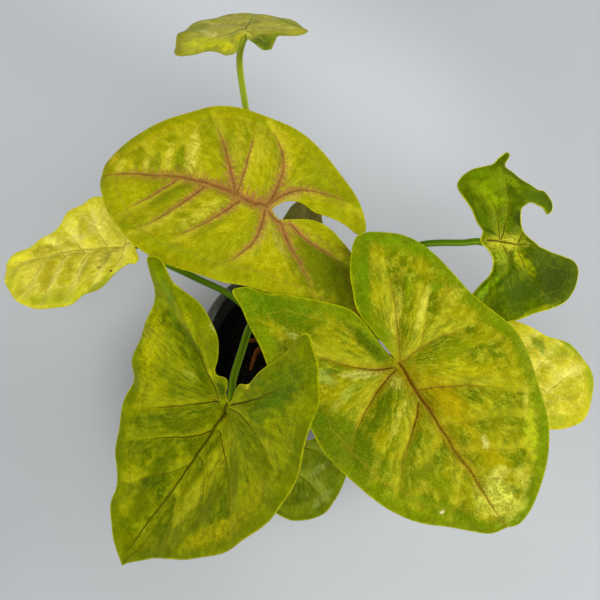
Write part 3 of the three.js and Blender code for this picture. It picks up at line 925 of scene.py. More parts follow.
@dataclass
class Blade:
    """A leaf's blade: a fine sheet on the leaf's bent surface, with a keel under its veins.

    The ribs are the shares of the keel that the midrib and the other veins take, the border is
    how far in from the edge the quilting fades, and the boss is the thick spot on the stalk.
    """

    leaf: Leaf
    cell: float = 1.0
    thickness: float = 0.5
    keel: float = 1.9
    groove: float = 1.1
    border: float = 9.0
    lip: float = 2.4
    ribs: Point = (0.85, 0.32)
    rib_widths: Point = (1.5, 0.9)
    boss: float = 2.2

    def outline(self) -> np.ndarray:
        """The flat outline, from the cleft round the left side to the tip and back, closed."""
        leaf = self.leaf
        parts, fine = [], 401
        for half, order in ((leaf.left, 1), (leaf.right, -1)):
            for knots in ([leaf.notch, *half.sinus, half.side[0]], [*half.side, leaf.tip]):
                length = np.linalg.norm(np.diff(spline(knots, fine), axis=0), axis=1).sum()
                parts.append(spline(knots, max(4, round(length / self.cell)) + 1)[::order])
        left_sinus, left_side, right_sinus, right_side = parts
        return np.vstack([left_sinus[:-1], left_side[:-1], right_side[:-1], right_sinus])

    def sheet(self, edge: np.ndarray) -> bmesh.types.BMesh:
        """Fills the flat outline with even cells that have a row of corners on each vein.

        Args:
            edge: The closed outline.

        Returns:
            The flat blade, in millimetres.
        """
        low, high = edge.min(axis=0), edge.max(axis=0)
        x, y = np.meshgrid(np.arange(low[0], high[0], self.cell),
                           np.arange(low[1], high[1], self.cell * math.sqrt(0.75)))
        x[1::2] += self.cell / 2
        rows = [np.column_stack([x.ravel(), y.ravel()])]
        clear = 0.6 * self.cell
        for vein in self.leaf.veins:
            rows = [row[vein.measure(row)[0] > clear] for row in rows]
            rows.append(vein.points(self.cell))
        inner = np.vstack(rows)
        inner = inner[self.insets(inner, edge)[0] > clear]
        ring = len(edge) - 1
        places, _, faces, *_ = delaunay_2d_cdt(
            [Vector(p) for p in np.vstack([edge[:-1], inner])],
            [(i, (i + 1) % ring) for i in range(ring)], [], FILL_INSIDE, FILL_NEARNESS)
        bm = bmesh.new()
        corners = [bm.verts.new((*place, 0.0)) for place in places]
        for face in faces:
            bm.faces.new([corners[i] for i in face])
        outside = [vert for vert in bm.verts if not vert.link_faces]
        bmesh.ops.delete(bm, geom=outside, context="VERTS")
        return bm

    @staticmethod
    def insets(flat: np.ndarray, edge: np.ndarray) -> tuple[np.ndarray, np.ndarray]:
        """How far flat points lie inside the edge, and where along it the nearest point is.

        Args:
            flat: Points on the flat leaf.
            edge: The outline, in order.

        Returns:
            The distances, and the run along the outline, both in millimetres.
        """
        start, span = edge[:-1], np.diff(edge, axis=0)
        size = np.maximum((span ** 2).sum(axis=1), 1e-9)
        run = np.concatenate([[0], np.cumsum(np.sqrt(size))])[:-1]
        inset, place = np.empty(len(flat)), np.empty(len(flat))
        batch = 2000
        for first in range(0, len(flat), batch):
            offset = flat[first:first + batch, None, :] - start[None]
            share = np.clip((offset * span).sum(axis=2) / size, 0, 1)
            away = np.linalg.norm(offset - share[..., None] * span, axis=2)
            nearest = away.argmin(axis=1)
            rows = np.arange(len(nearest))
            inset[first:first + batch] = away[rows, nearest]
            place[first:first + batch] = (run[nearest] + share[rows, nearest]
                                          * np.sqrt(size[nearest]))
        return inset, place

    def relief(self, flat: np.ndarray, inset: np.ndarray, run: np.ndarray) -> np.ndarray:
        """Heights above the plain surface, from veins, waves, ripples, folds and rolled edges.

        Args:
            flat: Points on the flat leaf.
            inset: Their distances from the edge.
            run: Their nearest points along the edge.

        Returns:
            A height in millimetres for each point.
        """
        shape = self.leaf.relief
        valleys = np.zeros(len(flat))
        for vein in self.leaf.veins:
            distance, along = vein.measure(flat)
            depth = shape.quilt * vein.depth * (1 - 0.55 * along)
            wide = depth * np.exp(-(distance / shape.spread) ** 2)
            sharp = 0.3 * vein.depth * np.exp(-(distance / self.groove) ** 2) * (1 - 0.6 * along)
            valleys += (wide + sharp) ** 4
        height = -(valleys ** 0.25) * smoothstep(inset, 0.0, self.border)
        height *= smoothstep(np.hypot(*flat.T), 0.5, self.border)
        height += (shape.wave * np.sin(2 * math.pi * run / shape.wave_length + shape.wave_phase)
                   * np.exp(-(inset / self.border) ** 2))
        height -= shape.rolled * np.exp(-(inset / self.lip) ** 2)
        lumps = [noise.noise(Vector((x / shape.ripple_size, y / shape.ripple_size, shape.seed)))
                 for x, y in flat]
        height += shape.ripple * np.array(lumps) * smoothstep(np.hypot(*flat.T), 2.0, 14.0)
        for crease in self.leaf.creases:
            height += self._crease(flat, crease)
        return height

    @staticmethod
    def _crease(flat: np.ndarray, crease: Crease) -> np.ndarray:
        """The lift that a crease gives: steep on its right, sloping away on its left."""
        start, end = np.array(crease.start, float), np.array(crease.end, float)
        length = float(np.linalg.norm(end - start))
        course = (end - start) / length
        offset = flat - start
        raw = offset @ course / length
        ends = smoothstep(raw, -0.15, 0.2) * (1 - smoothstep(raw, 0.8, 1.15))
        aside = course[0] * offset[:, 1] - course[1] * offset[:, 0]
        left = np.exp(-np.clip(aside, 0, None) / crease.spread)
        right = smoothstep(aside, -crease.edge, 0.0)
        return crease.height * ends * np.where(aside > 0, left, right)

    def thickening(self, flat: np.ndarray) -> np.ndarray:
        """The share of the keel's depth that the blade has at flat points."""
        share = np.full(len(flat), self.thickness / self.keel)
        for i, vein in enumerate(self.leaf.veins):
            distance, along = vein.measure(flat)
            top, width = self.ribs[min(i, 1)], self.rib_widths[min(i, 1)]
            bulge = top * (1 - 0.75 * along) * np.exp(-(distance / width) ** 2)
            share = np.maximum(share, self.thickness / self.keel + bulge)
        boss = np.exp(-(np.hypot(*flat.T) / self.boss) ** 2)
        return np.clip(np.maximum(share, boss), 0.0, 1.0)

    def build(self) -> bpy.types.Object:
        """Makes the blade and hands it over to the frame."""
        leaf = self.leaf
        edge = self.outline()
        bm = self.sheet(edge)
        for rim in [e for e in bm.edges if e.is_boundary]:
            rim.smooth = False
        finish = leaf.finish
        piece = new_piece(f"leaf_{leaf.name}", bm, [finish.upper(leaf), finish.lower(leaf)])
        mesh = piece.data
        places = np.empty(len(mesh.vertices) * 3)
        mesh.vertices.foreach_get("co", places)
        flat = places.reshape(-1, 3)[:, :2].copy()
        inset, run = self.insets(flat, edge)
        height = self.relief(flat, inset, run) + self.thickness / 2
        final = leaf.carry(flat) + leaf.normals(flat) * height[:, None]
        mesh.vertices.foreach_set("co", (final * MM).ravel())
        marks = mesh.attributes.new("flat", "FLOAT_VECTOR", "POINT")
        marks.data.foreach_set("vector", np.column_stack([flat, inset]).ravel())
        group = piece.vertex_groups.new(name="keel")
        for index, share in enumerate(self.thickening(flat)):
            group.add([index], float(share), "REPLACE")
        mesh.update()
        wall = piece.modifiers.new("wall", "SOLIDIFY")
        wall.thickness = self.keel * MM
        wall.offset = -1.0
        wall.vertex_group = "keel"
        wall.thickness_vertex_group = 0.0
        wall.use_quality_normals = True
        wall.material_offset = 1
        wall.material_offset_rim = 0
        return hand_over(piece, f"blade_{leaf.name}")


# -------- stalks

@dataclass(frozen=True)
class StalkFinish:
    """The colours of a leaf stalk, from its foot to the blade."""

    name: str
    slot: str
    foot: Colour
    middle: Colour
    top: Colour
    stripe: Colour
    gloss: float = 0.4

    def build(self, leaf_name: str) -> bpy.types.Material:
        """Builds the material, with fine streaks along the stalk and a darker furrow."""
        material, t, shader = open_material(f"{leaf_name}_{self.name}")
        course = t.attribute("course").outputs["Vector"]
        front, _, along = t.split(course)
        colour = t.blend(t.rise(along, 0.05, 0.4), paint(self.foot), paint(self.middle))
        colour = t.blend(t.rise(along, 0.8, 1.0), colour, paint(self.top))
        streaks = t.cloud(t.vector("MULTIPLY", course, (2.2, 2.2, 3.0)), 0.6, 3.0, 0.6)
        colour = t.blend(t.rise(streaks, 0.45, 0.75, 0.0, 0.5), colour, paint(self.stripe))
        furrow = t.rise(front, 0.75, 1.0, 0.0, 0.6)
        colour = t.blend(furrow, colour, paint(self.stripe))
        rough = t.rise(streaks, 0.3, 0.7, self.gloss - 0.05, self.gloss + 0.12)
        dress(t, shader, colour, rough, 0.25, STALK_TINT)
        add_bump(t, shader, streaks, 0.15, 0.6)
        return material


@dataclass
class Stalk:
    """A leaf stalk: a rod that sheathes the crown at its foot, with a furrow along its front."""

    leaf: Leaf
    crown: Point = (0.0, 2.0)
    circle: float = 7.6
    soil_top: float = 66.0
    gap: float = 0.3
    foot_radius: float = 2.4
    tip_radius: float = 1.95
    furrow_from: float = 0.55
    furrow_depth: float = 0.84
    swell: float = 0.35
    sides: int = 20
    rings: int = 70

    def route(self) -> np.ndarray:
        """The stalk's centre line in metres, from the soil to inside the blade's keel."""
        leaf = self.leaf
        angle = math.radians(leaf.angle)
        foot = (self.crown[0] + self.circle * math.cos(angle),
                self.crown[1] + self.circle * math.sin(angle), self.soil_top + self.gap)
        above = (foot[0], foot[1], foot[2] + 7)
        points = [foot, above, *leaf.stalk, leaf.under(*leaf.entry), leaf.under(2.6, 0.3),
                  leaf.under(0.7, 0.0)]
        return spline(points, self.rings + 1, 0.5) * MM

    def build(self) -> bpy.types.Object:
        """Sweeps the stalk's section along its route and hands it over."""
        route = self.route()
        away = Vector((self.crown[0] * MM, self.crown[1] * MM, route[0][2])) - Vector(route[0])
        frames = frames_along(route, away)
        bm = bmesh.new()
        course = bm.verts.layers.float_vector.new("course")
        made = bmesh.ops.create_circle(bm, cap_ends=True, segments=self.sides, radius=1.0)
        for vert in made["verts"]:
            vert[course] = (vert.co.x, vert.co.y, 0.0)
            if vert.co.x > self.furrow_from:
                vert.co.x *= self.furrow_depth
        ring = made["verts"]
        edges = [e for e in bm.edges if e.is_boundary]
        last = Matrix.Identity(4)
        for i, frame in enumerate(frames):
            share = i / self.rings
            radius = self.radius(share) * MM
            here = frame @ Matrix.Diagonal((radius, radius, radius, 1.0))
            if i:
                grown = bmesh.ops.extrude_edge_only(bm, edges=edges)["geom"]
                ring = [g for g in grown if isinstance(g, bmesh.types.BMVert)]
                edges = [g for g in grown if isinstance(g, bmesh.types.BMEdge)]
            bmesh.ops.transform(bm, matrix=here @ last.inverted(), verts=ring)
            for vert in ring:
                vert[course] = (vert[course][0], vert[course][1], share)
            last = here
        bmesh.ops.edgeloop_fill(bm, edges=edges)
        bmesh.ops.recalc_face_normals(bm, faces=bm.faces)
        name, finish = self.leaf.name, self.leaf.stalk_finish
        piece = new_piece(f"stalk_{name}_rod", bm, [finish.build(name)], 50)
        return hand_over(piece, f"stalk_{name}")

    def radius(self, share: float) -> float:
        """The stalk's radius at a share of its length."""
        taper = self.tip_radius + (self.foot_radius - self.tip_radius) * (1 - share) ** 2
        return taper + self.swell * math.exp(-((share - 1.0) / 0.05) ** 2)


# -------- pot, soil, crown

@dataclass
class Pot:
    """A small round tapered nursery pot with a plain rolled rim and drain holes."""

    height: float = 78.0
    rim_radius: float = 50.0
    rim_width: float = 5.0
    rim_depth: float = 6.0
    foot_radius: float = 35.0
    wall: float = 1.6
    floor: float = 2.4
    drain_radius: float = 4.0
    drain_circle: float = 21.0
    drains: int = 5
    steps: int = 144

    def outer(self, z: float) -> float:
        """The outside radius at a height."""
        top = self.rim_radius - self.rim_width + self.wall
        return self.foot_radius + (top - self.foot_radius) * z / self.height

    def profile(self) -> list[Point]:
        """Radius and height points from the middle of the foot round to the inside floor."""
        lip = self.height - self.rim_depth
        top, radius = self.height, self.rim_radius
        inner = top - 1.4
        steps = [(lip - 1.5) * k / 8 for k in range(1, 8)]
        return [(0, 0), (18, 0), (30, 0), (self.foot_radius - 1.5, 0), (self.foot_radius, 1.5),
                *[(self.outer(z), z) for z in steps],
                (self.outer(lip - 1.5), lip - 1.5), (radius - 0.8, lip), (radius, lip + 1),
                (radius, top - 1.2), (radius - 1.2, top), (radius - self.rim_width + 1.2, top),
                (self.outer(inner) - self.wall, inner),
                *[(self.outer(z) - self.wall, z) for z in (60, 40, 20)],
                (self.outer(self.floor) - self.wall, self.floor), (18, self.floor),
                (0, self.floor)]

    def material(self) -> bpy.types.Material:
        """Smoky grey moulded plastic with dust, darker below its lip where the soil shows through, and
        with painted shade on its inside.
        """
        material, t, shader = open_material("pot_smoky_plastic")
        place = t.position()
        scuff = t.place(Pattern.scuff(), position=place, size=0.03)
        colour = t.blend(t.times(scuff.outputs["Marks"], 0.4), paint((84, 86, 82)),
                         paint((106, 108, 104)))
        ring = t.length(t.vector("MULTIPLY", place, (1.0, 1.0, 0.0)))
        # Painted shade: the pot's inside is painted near black, as it lies in deep shade; below the lip
        # the wall also darkens where the soil shows through the smoky plastic.
        lip = (self.height - self.rim_depth) * MM
        backed = t.rise(t.split(place)[2], lip - 5 * MM, lip, 0.85, 0.0)
        inner = (self.rim_radius - self.rim_width) * MM
        inside = t.rise(ring, inner - 0.5 * MM, inner + 1.5 * MM, 0.75, 0.0)
        colour = t.blend(t.math("MAXIMUM", backed, inside), colour, paint((26, 26, 24)))
        colour = t.blend(t.rise(scuff.outputs["Grain"], 0.6, 0.8, 0.0, 0.3), colour,
                         paint((58, 56, 50)))
        dress(t, shader, colour, t.rise(scuff.outputs["Marks"], 0.0, 1.0, 0.3, 0.5))
        add_bump(t, shader, scuff.outputs["Grain"], 0.05, 0.4)
        return material

    def build(self) -> bpy.types.Object:
        """Spins the pot, drills its drain holes and hands it over."""
        bm = spun(self.profile(), self.steps)
        piece = new_piece("nursery_pot", bm, [self.material()], 25)
        drills = self._drills()
        cut = piece.modifiers.new("drains", "BOOLEAN")
        cut.operation, cut.object, cut.solver = "DIFFERENCE", drills, "EXACT"
        bpy.context.view_layer.update()
        solid = piece.evaluated_get(bpy.context.evaluated_depsgraph_get())
        drilled = bpy.data.meshes.new_from_object(solid)
        piece.modifiers.clear()
        piece.data = drilled
        bpy.data.objects.remove(drills)
        soften = piece.modifiers.new("moulded_edges", "BEVEL")
        soften.width, soften.segments = 0.4 * MM, 3
        soften.limit_method, soften.angle_limit = "ANGLE", math.radians(24)
        soften.harden_normals = True
        return hand_over(piece, "pot")

    def _drills(self) -> bpy.types.Object:
        """Short rods standing where the drain holes go."""
        bm = bmesh.new()
        for i in range(self.drains):
            angle = (i + 0.5) * 2 * math.pi / self.drains
            spot = Matrix.Translation((self.drain_circle * math.cos(angle) * MM,
                                       self.drain_circle * math.sin(angle) * MM,
                                       self.floor / 2 * MM))
            bmesh.ops.create_cone(bm, cap_ends=True, segments=32, matrix=spot,
                                  radius1=self.drain_radius * MM,
                                  radius2=self.drain_radius * MM, depth=(self.floor + 4) * MM)
        return new_piece("drills", bm, [])


@dataclass
class Soil:
    """Dark peaty potting mix: a rough crumbled top with loose crumbs and bits of bark."""

    pot: Pot
    top: float = 66.0
    gap: float = 0.3
    sides: int = 110
    rings: int = 30
    crumbs: int = 420
    chips: int = 60
    seed: int = 11

    def material(self) -> bpy.types.Material:
        """Near black peat, with each crumb a little different."""
        material, t, shader = open_material("soil_dark_peat")
        place = t.position()
        scuff = t.place(Pattern.scuff(), position=place, size=0.006)
        tone = t.attribute("tone").outputs["Fac"]
        colour = t.blend(scuff.outputs["Marks"], paint((7, 6, 5)), paint((16, 13, 10)))
        colour = t.blend(t.rise(tone, 0.3, 0.7, 0.0, 0.6), colour, paint((38, 28, 17)))
        colour = t.blend(t.rise(tone, 0.8, 1.0, 0.0, 0.8), colour, paint((92, 58, 26)))
        dress(t, shader, colour, t.rise(scuff.outputs["Grain"], 0.3, 0.7, 0.75, 1.0), 0.1)
        add_bump(t, shader, scuff.outputs["Grain"], 0.8, 1.0)
        return material

    def height(self, x: float, y: float) -> float:
        """The surface height in millimetres at a place in the pot."""
        lump = noise.noise(Vector((x / 9, y / 9, 3.1))) * 0.9
        fine = noise.noise(Vector((x / 2.6, y / 2.6, 7.7))) * 0.45
        outward = max(0.0, math.hypot(x, y) - 24) / 18
        return self.top - 0.9 + lump + fine - 1.2 * outward ** 2

    def build(self) -> bpy.types.Object:
        """Makes the soil and its loose crumbs in one piece and hands it over."""
        low = self.pot.floor + self.gap
        wide, narrow = (self.pot.outer(z) - self.pot.wall - self.gap for z in (self.top - 2, low))
        surface = [(wide * k / self.rings, self.top) for k in range(self.rings + 1)]
        bm = spun([*surface, (narrow, low), (0.0, low)], self.sides)
        tone = bm.verts.layers.float.new("tone")
        for vert in bm.verts:
            if vert.co.z > (self.top - 1) * MM:
                vert.co.z = self.height(vert.co.x / MM, vert.co.y / MM) * MM
        draw = random.Random(self.seed)
        for i in range(self.crumbs + self.chips):
            self._crumb(bm, draw, tone, i >= self.crumbs, wide - 2.0)
        piece = new_piece("potting_soil", bm, [self.material()], 60)
        return hand_over(piece, "soil")

    def _crumb(self, bm: bmesh.types.BMesh, draw: random.Random, tone: object, chip: bool,
               limit: float) -> None:
        """Drops one crumb or bark chip on the surface.

        Args:
            bm: The soil's bmesh.
            draw: Where the random sizes come from.
            tone: The layer that tints each crumb.
            chip: Whether this is a longer bark chip.
            limit: How far from the middle it may lie, in millimetres.
        """
        radius = limit * math.sqrt(draw.random())
        angle = draw.uniform(0, 2 * math.pi)
        x, y = radius * math.cos(angle), radius * math.sin(angle)
        size = draw.uniform(0.5, 1.5) if not chip else draw.uniform(0.9, 1.8)
        stretch = (size * draw.uniform(0.8, 1.2), size * draw.uniform(0.7, 1.1),
                   size * draw.uniform(0.5, 0.9))
        if chip:
            stretch = (size * draw.uniform(1.6, 3.2), size * 0.7, size * 0.35)
        spot = Matrix.Translation((x * MM, y * MM, (self.height(x, y) + stretch[2] * 0.3) * MM))
        turn = Matrix.Rotation(draw.uniform(0, 6.28), 4, "Z") @ Matrix.Rotation(
            draw.uniform(-0.5, 0.5), 4, "X") @ Matrix.Rotation(draw.uniform(-0.3, 0.3), 4, "Y")
        scale = Matrix.Diagonal((*(s * MM for s in stretch), 1.0))
        made = bmesh.ops.create_icosphere(bm, subdivisions=1, radius=1.0,
                                          matrix=spot @ turn @ scale)
        shade = draw.random() ** 3 if not chip else draw.uniform(0.3, 1.0)
        for vert in made["verts"]:
            vert.co += Vector([draw.uniform(-0.15, 0.15) * size * MM for _ in range(3)])
            vert[tone] = shade


@dataclass
class Crown:
    """The short ringed stem that the stalks rise from, and two dry leaf bases beside it.

    The scars are the stem's rings, the shoulder is the length over which its top closes, and
    the strip sizes are those of a dry base: half its width at each end, its cup and its wall.
    """

    centre: Point = (0.0, 2.0)
    radius: float = 4.2
    foot: float = 66.3
    height: float = 9.0
    taper: float = 0.4
    scar_depth: float = 0.16
    scar_pitch: float = 3.0
    shoulder: float = 2.0
    strip_widths: Point = (1.9, 0.7)
    strip_cup: float = 1.1
    strip_wall: float = 0.3

    def stem_material(self) -> bpy.types.Material:
        """Corky stem skin, olive brown with paler ring scars."""
        material, t, shader = open_material("crown_corky_stem")
        place = t.position()
        scuff = t.place(Pattern.scuff(), position=place, size=0.004)
        pitch = 2 * math.pi / (self.scar_pitch * MM)
        scars = t.math("SINE", t.times(t.split(place)[2], pitch))
        colour = t.blend(scuff.outputs["Marks"], paint((84, 76, 26)), paint((104, 84, 48)))
        colour = t.blend(t.rise(scars, 0.75, 1.0, 0.0, 0.6), colour, paint((150, 128, 88)))
        dress(t, shader, colour, t.rise(scuff.outputs["Grain"], 0.3, 0.7, 0.6, 0.9))
        add_bump(t, shader, scuff.outputs["Grain"], 0.3, 0.8)
        return material

    def dry_material(self) -> bpy.types.Material:
        """Dry papery leaf base, orange brown with darker fibres."""
        material, t, shader = open_material("dry_leaf_base_paper")
        course = t.attribute("course").outputs["Vector"]
        fibres = t.cloud(t.vector("MULTIPLY", course, (6.0, 1.0, 1.2)), 0.5, 3.0, 0.6)
        colour = t.blend(t.rise(fibres, 0.35, 0.65), paint((132, 70, 14)), paint((70, 34, 8)))
        colour = t.blend(t.rise(fibres, 0.62, 0.8, 0.0, 0.5), colour, paint((176, 116, 34)))
        dress(t, shader, colour, t.rise(fibres, 0.3, 0.7, 0.65, 0.9), 0.15)
        add_bump(t, shader, fibres, 0.3, 0.8)
        return material

    def build(self) -> list[bpy.types.Object]:
        """Makes the stem and both dry leaf bases."""
        stem = self._stem()
        dry = self.dry_material()
        paths = {
            "dry_leaf_base_front": [(-12.4, -2.4, 69.2), (-15, -3.4, 71.4), (-18, -9, 71),
                                    (-20.2, -16, 69.2)],
            "dry_leaf_base_back": [(-13.5, 3.6, 69), (-17, 3.2, 70.4), (-20.5, 2.6, 70.4),
                                   (-25, 2.2, 69.2)]}
        return [stem, *(self._strip(name, path, dry) for name, path in paths.items())]

    def _stem(self) -> bpy.types.Object:
        """Spins the stem with its ring scars."""
        rings = 24
        line = [(0.0, self.foot)]
        for k in range(rings + 1):
            rise = self.height * k / rings
            radius = (self.radius - self.taper * rise / self.height
                      + self.scar_depth * math.sin(rise * 2.1))
            if rise > self.height - self.shoulder:
                over = (rise - self.height + self.shoulder) / (self.shoulder + 0.1)
                radius *= math.sqrt(max(0.08, 1 - over ** 2))
            line.append((radius, self.foot + rise))
        line.append((0.0, self.foot + self.height + 0.3))
        bm = spun(line, 40)
        shift = Matrix.Translation((self.centre[0] * MM, self.centre[1] * MM, 0.0))
        bmesh.ops.transform(bm, matrix=shift, verts=bm.verts)
        piece = new_piece("crown_stem_bark", bm, [self.stem_material()], 60)
        return hand_over(piece, "crown_stem")

    def _strip(self, name: str, path: Sequence[Place],
               material: bpy.types.Material) -> bpy.types.Object:
        """Makes one dry base: a papery strip, cupped across and ragged at its end."""
        rows, columns = 36, 12
        first, last = self.strip_widths
        frames = frames_along(spline(path, rows + 1, 0.5) * MM, Vector((0, 0, 1)))
        bm = bmesh.new()
        bmesh.ops.create_grid(bm, x_segments=rows, y_segments=columns, size=0.5)
        course = bm.verts.layers.float_vector.new("course")
        for vert in bm.verts:
            row, share = round((vert.co.x + 0.5) * rows), vert.co.y * 2
            along = row / rows
            ragged = 1 + 0.12 * noise.noise(Vector((along * 9, share, 5)))
            width = (first + (last - first) * along) * ragged
            cup = self.strip_cup * (share ** 2) * (1 - 0.5 * along)
            crinkle = 0.22 * noise.noise(Vector((along * 7, share * 2.2, len(name))))
            vert[course] = (share, 0.0, along * 3)
            vert.co = frames[row] @ Vector(((0.2 - cup + crinkle) * MM, share * width * MM, 0.0))
        bmesh.ops.recalc_face_normals(bm, faces=bm.faces)
        piece = new_piece(f"{name}_strip", bm, [material], 60)
        wall = piece.modifiers.new("paper", "SOLIDIFY")
        wall.thickness, wall.offset = self.strip_wall * MM, 0.0
        return hand_over(piece, name)


# -------- the studio

@dataclass
class Studio:
    """A pale floor that glows with painted light and darkens round the pot as a painted shadow, three
    soft lights that look at the plant's middle, and the camera.
    """

    camera_at: Place = (9.2, -166.3, 490.3)
    camera_tilt: float = 25.0
    lens: float = 45.0
    sensor: float = 36.0
    middle: Place = (0.0, 0.0, 100.0)

    def build(self) -> None:
        """Sets everything that isn't part of the plant."""
        self._camera()
        self._floor()
        self._light("front_window", (300, -1300, 1900), 1500, 34.0)
        self._light("right_window", (2000, 300, 1400), 1000, 32.0)
        self._light("left_window", (-1700, 300, 1200), 900, 13.0)
        world = bpy.data.worlds.new("soft_room")
        world.use_nodes = True
        sky = world.node_tree.nodes["Background"]
        sky.inputs["Color"].default_value = (0.95, 0.98, 1.0, 1.0)
        sky.inputs["Strength"].default_value = 0.2
        bpy.context.scene.world = world
        bpy.context.scene.view_settings.view_transform = "Standard"

    def _camera(self) -> None:
        """Sets the camera above the front of the plant."""
        lens = bpy.data.cameras.new("camera")
        lens.lens, lens.sensor_width = self.lens, self.sensor
        lens.clip_start, lens.clip_end = 0.01, 20.0
        camera = bpy.data.objects.new("camera", lens)
        camera.location = [c * MM for c in self.camera_at]
        camera.rotation_euler = (math.radians(self.camera_tilt), 0.0, 0.0)
        bpy.context.scene.collection.objects.link(camera)
        bpy.context.scene.camera = camera

    def _floor(self) -> None:
        """Lays the pale bluish grey floor; its glow is painted light, brighter in a diagonal band and
        towards the front right, and fades round the pot as a painted shadow.
        """
        material, t, shader = open_material("floor_pale_grey_painted_light")
        place = t.position()
        colour = t.blend(t.cloud(place, 0.35, 2.0), paint((150, 152, 153)), paint((154, 156, 157)))
        dress(t, shader, colour, 0.75)
        # Painted light: the floor emits a glow of its own, with a brighter diagonal band and a brighter
        # pool towards the front right.
        near = t.length(t.vector("SUBTRACT", place, (-0.02, 0.01, 0.0)))
        front = t.length(t.vector("SUBTRACT", place, (0.14, -0.14, 0.0)))
        across = t.vector("DOT_PRODUCT", t.vector("SUBTRACT", place, (-0.052, 0.344, 0.0)),
                          (0.623, 0.782, 0.0), "Value")
        band = t.times(t.fall(t.math("ABSOLUTE", across), 0.0, 0.13),
                       t.rise(t.split(place)[0], 0.1, 0.22, 1.0, 0.15))
        painted_light_pools = t.math("MAXIMUM", band, t.rise(front, 0.04, 0.22, 0.75, 0.0))
        open_floor = t.blend(painted_light_pools, paint((114, 117, 119)), paint((144, 147, 149)))
        # Painted shadow: the glow fades to near black round the pot.
        glow = t.blend(t.rise(near, 0.05, 0.12), paint((20, 20, 20)), open_floor)
        t.feed(shader.inputs["Emission Color"], glow)
        shader.inputs["Emission Strength"].default_value = 1.0
        bm = bmesh.new()
        bmesh.ops.create_grid(bm, x_segments=1, y_segments=1, size=2.5)
        floor = new_piece("floor", bm, [material])

    def _light(self, name: str, at: Place, size: float, power: float) -> None:
        """Hangs one soft square light that looks at the plant's middle.

        Args:
            name: The light's name.
            at: Where it hangs, in millimetres.
            size: Its side, in millimetres.
            power: Its power in watts.
        """
        lamp = bpy.data.lights.new(name, "AREA")
        lamp.size, lamp.energy = size * MM, power
        light = bpy.data.objects.new(name, lamp)
        light.location = [c * MM for c in at]
        look = Vector(self.middle) * MM - light.location
        light.rotation_euler = look.to_track_quat("-Z", "Y").to_euler()
        bpy.context.scene.collection.objects.link(light)


# -------- the colours of this plant

MUSTARD = LeafFinish(
    name="mustard_pink_veined", slot="leaf_yellow_pink_veined",
    ground=(170, 164, 4), deep=(108, 120, 2), pale=(204, 196, 44),
    band=(138, 144, 2), rim=(182, 178, 16), vein_near=(122, 78, 34), vein_far=(146, 102, 46),
    halo=(160, 110, 56), underside=(168, 168, 50), balance=-0.03, patch_share=0.7, halo_share=0.95,
    vein_reach=1.35, gloss=0.42, net_share=0.06, vein_share=0.75, shade_share=0.85, glow_share=0.8)
MOTTLED = LeafFinish(
    name="yellow_green_mottled", slot="leaf_yellow_mottled",
    ground=(154, 151, 2), deep=(74, 98, 1), pale=(204, 198, 44),
    band=(104, 128, 2), rim=(182, 180, 10), vein_near=(88, 50, 6), vein_far=(160, 140, 30),
    halo=(136, 108, 5), underside=(150, 160, 40), patch=14.0, fleck_share=0.4, band_share=0.8,
    band_width=9.5, halo_share=0.6, vein_reach=0.95, shade_share=0.85, gloss=0.33, net_share=0.09)
GREEN_MOTTLED = LeafFinish(
    name="green_mottled", slot="leaf_green_mottled",
    ground=(152, 159, 2), deep=(64, 88, 1), pale=(190, 190, 24),
    band=(106, 120, 2), rim=(190, 188, 10), vein_near=(56, 50, 4), vein_far=(100, 100, 10),
    halo=(146, 146, 4), underside=(132, 146, 34), patch=22.0, patch_share=0.8, fleck_share=0.25,
    vein_reach=0.9, shade_share=1.0, glow_share=0.85, gloss=0.35, net_share=0.07, grain_share=0.42)
OLIVE_TOP = LeafFinish(
    name="olive_top", slot="leaf_olive_top",
    ground=(184, 176, 56), deep=(132, 136, 40), pale=(210, 202, 100),
    band=(140, 142, 20), rim=(150, 158, 10), vein_near=(60, 64, 16), vein_far=(190, 182, 80),
    halo=(186, 178, 70), underside=(170, 176, 40), patch_share=0.6, gloss=0.42)
PALE_YELLOW = LeafFinish(
    name="pale_yellow", slot="leaf_pale_yellow",
    ground=(202, 192, 30), deep=(150, 150, 4), pale=(236, 226, 110),
    band=(176, 174, 12), rim=(196, 192, 16), vein_near=(140, 140, 20), vein_far=(214, 204, 84),
    halo=(222, 210, 80), underside=(186, 184, 60), balance=-0.03, patch=12.0, patch_share=0.6,
    band_share=0.35, halo_share=0.6)
BRIGHT_YELLOW = replace(PALE_YELLOW, name="bright_yellow", ground=(244, 232, 50),
                        pale=(252, 246, 136), band=(212, 208, 22), deep=(172, 166, 8),
                        vein_near=(168, 162, 30), vein_far=(226, 216, 96))
DARK_GREEN = LeafFinish(
    name="dark_green", slot="leaf_dark_green",
    ground=(108, 130, 2), deep=(52, 70, 1), pale=(150, 162, 14),
    band=(80, 98, 1), rim=(200, 196, 6), vein_near=(56, 44, 12), vein_far=(108, 118, 8),
    halo=(150, 150, 8), underside=(120, 140, 20), balance=0.02, patch=20.0, fleck_share=0.15,
    band_share=0.3, rim_width=0.8, rim_share=0.9, net_share=0.06)
FRESH_GREEN = LeafFinish(
    name="fresh_green", slot="leaf_dark_green",
    ground=(128, 146, 8), deep=(80, 98, 2), pale=(176, 182, 70),
    band=(96, 112, 2), rim=(176, 180, 10), vein_near=(84, 88, 10), vein_far=(130, 138, 12),
    halo=(140, 150, 12), underside=(130, 146, 30), patch=14.0, patch_share=0.8, band_share=0.3,
    rim_share=0.8, gloss=0.3)
OLIVE_BROWN = LeafFinish(
    name="olive_brown", slot="leaf_olive_brown",
    ground=(116, 110, 50), deep=(90, 88, 34), pale=(140, 134, 76),
    band=(96, 94, 30), rim=(130, 126, 50), vein_near=(80, 64, 32), vein_far=(132, 124, 64),
    halo=(120, 108, 52), underside=(126, 124, 60), gloss=0.5)

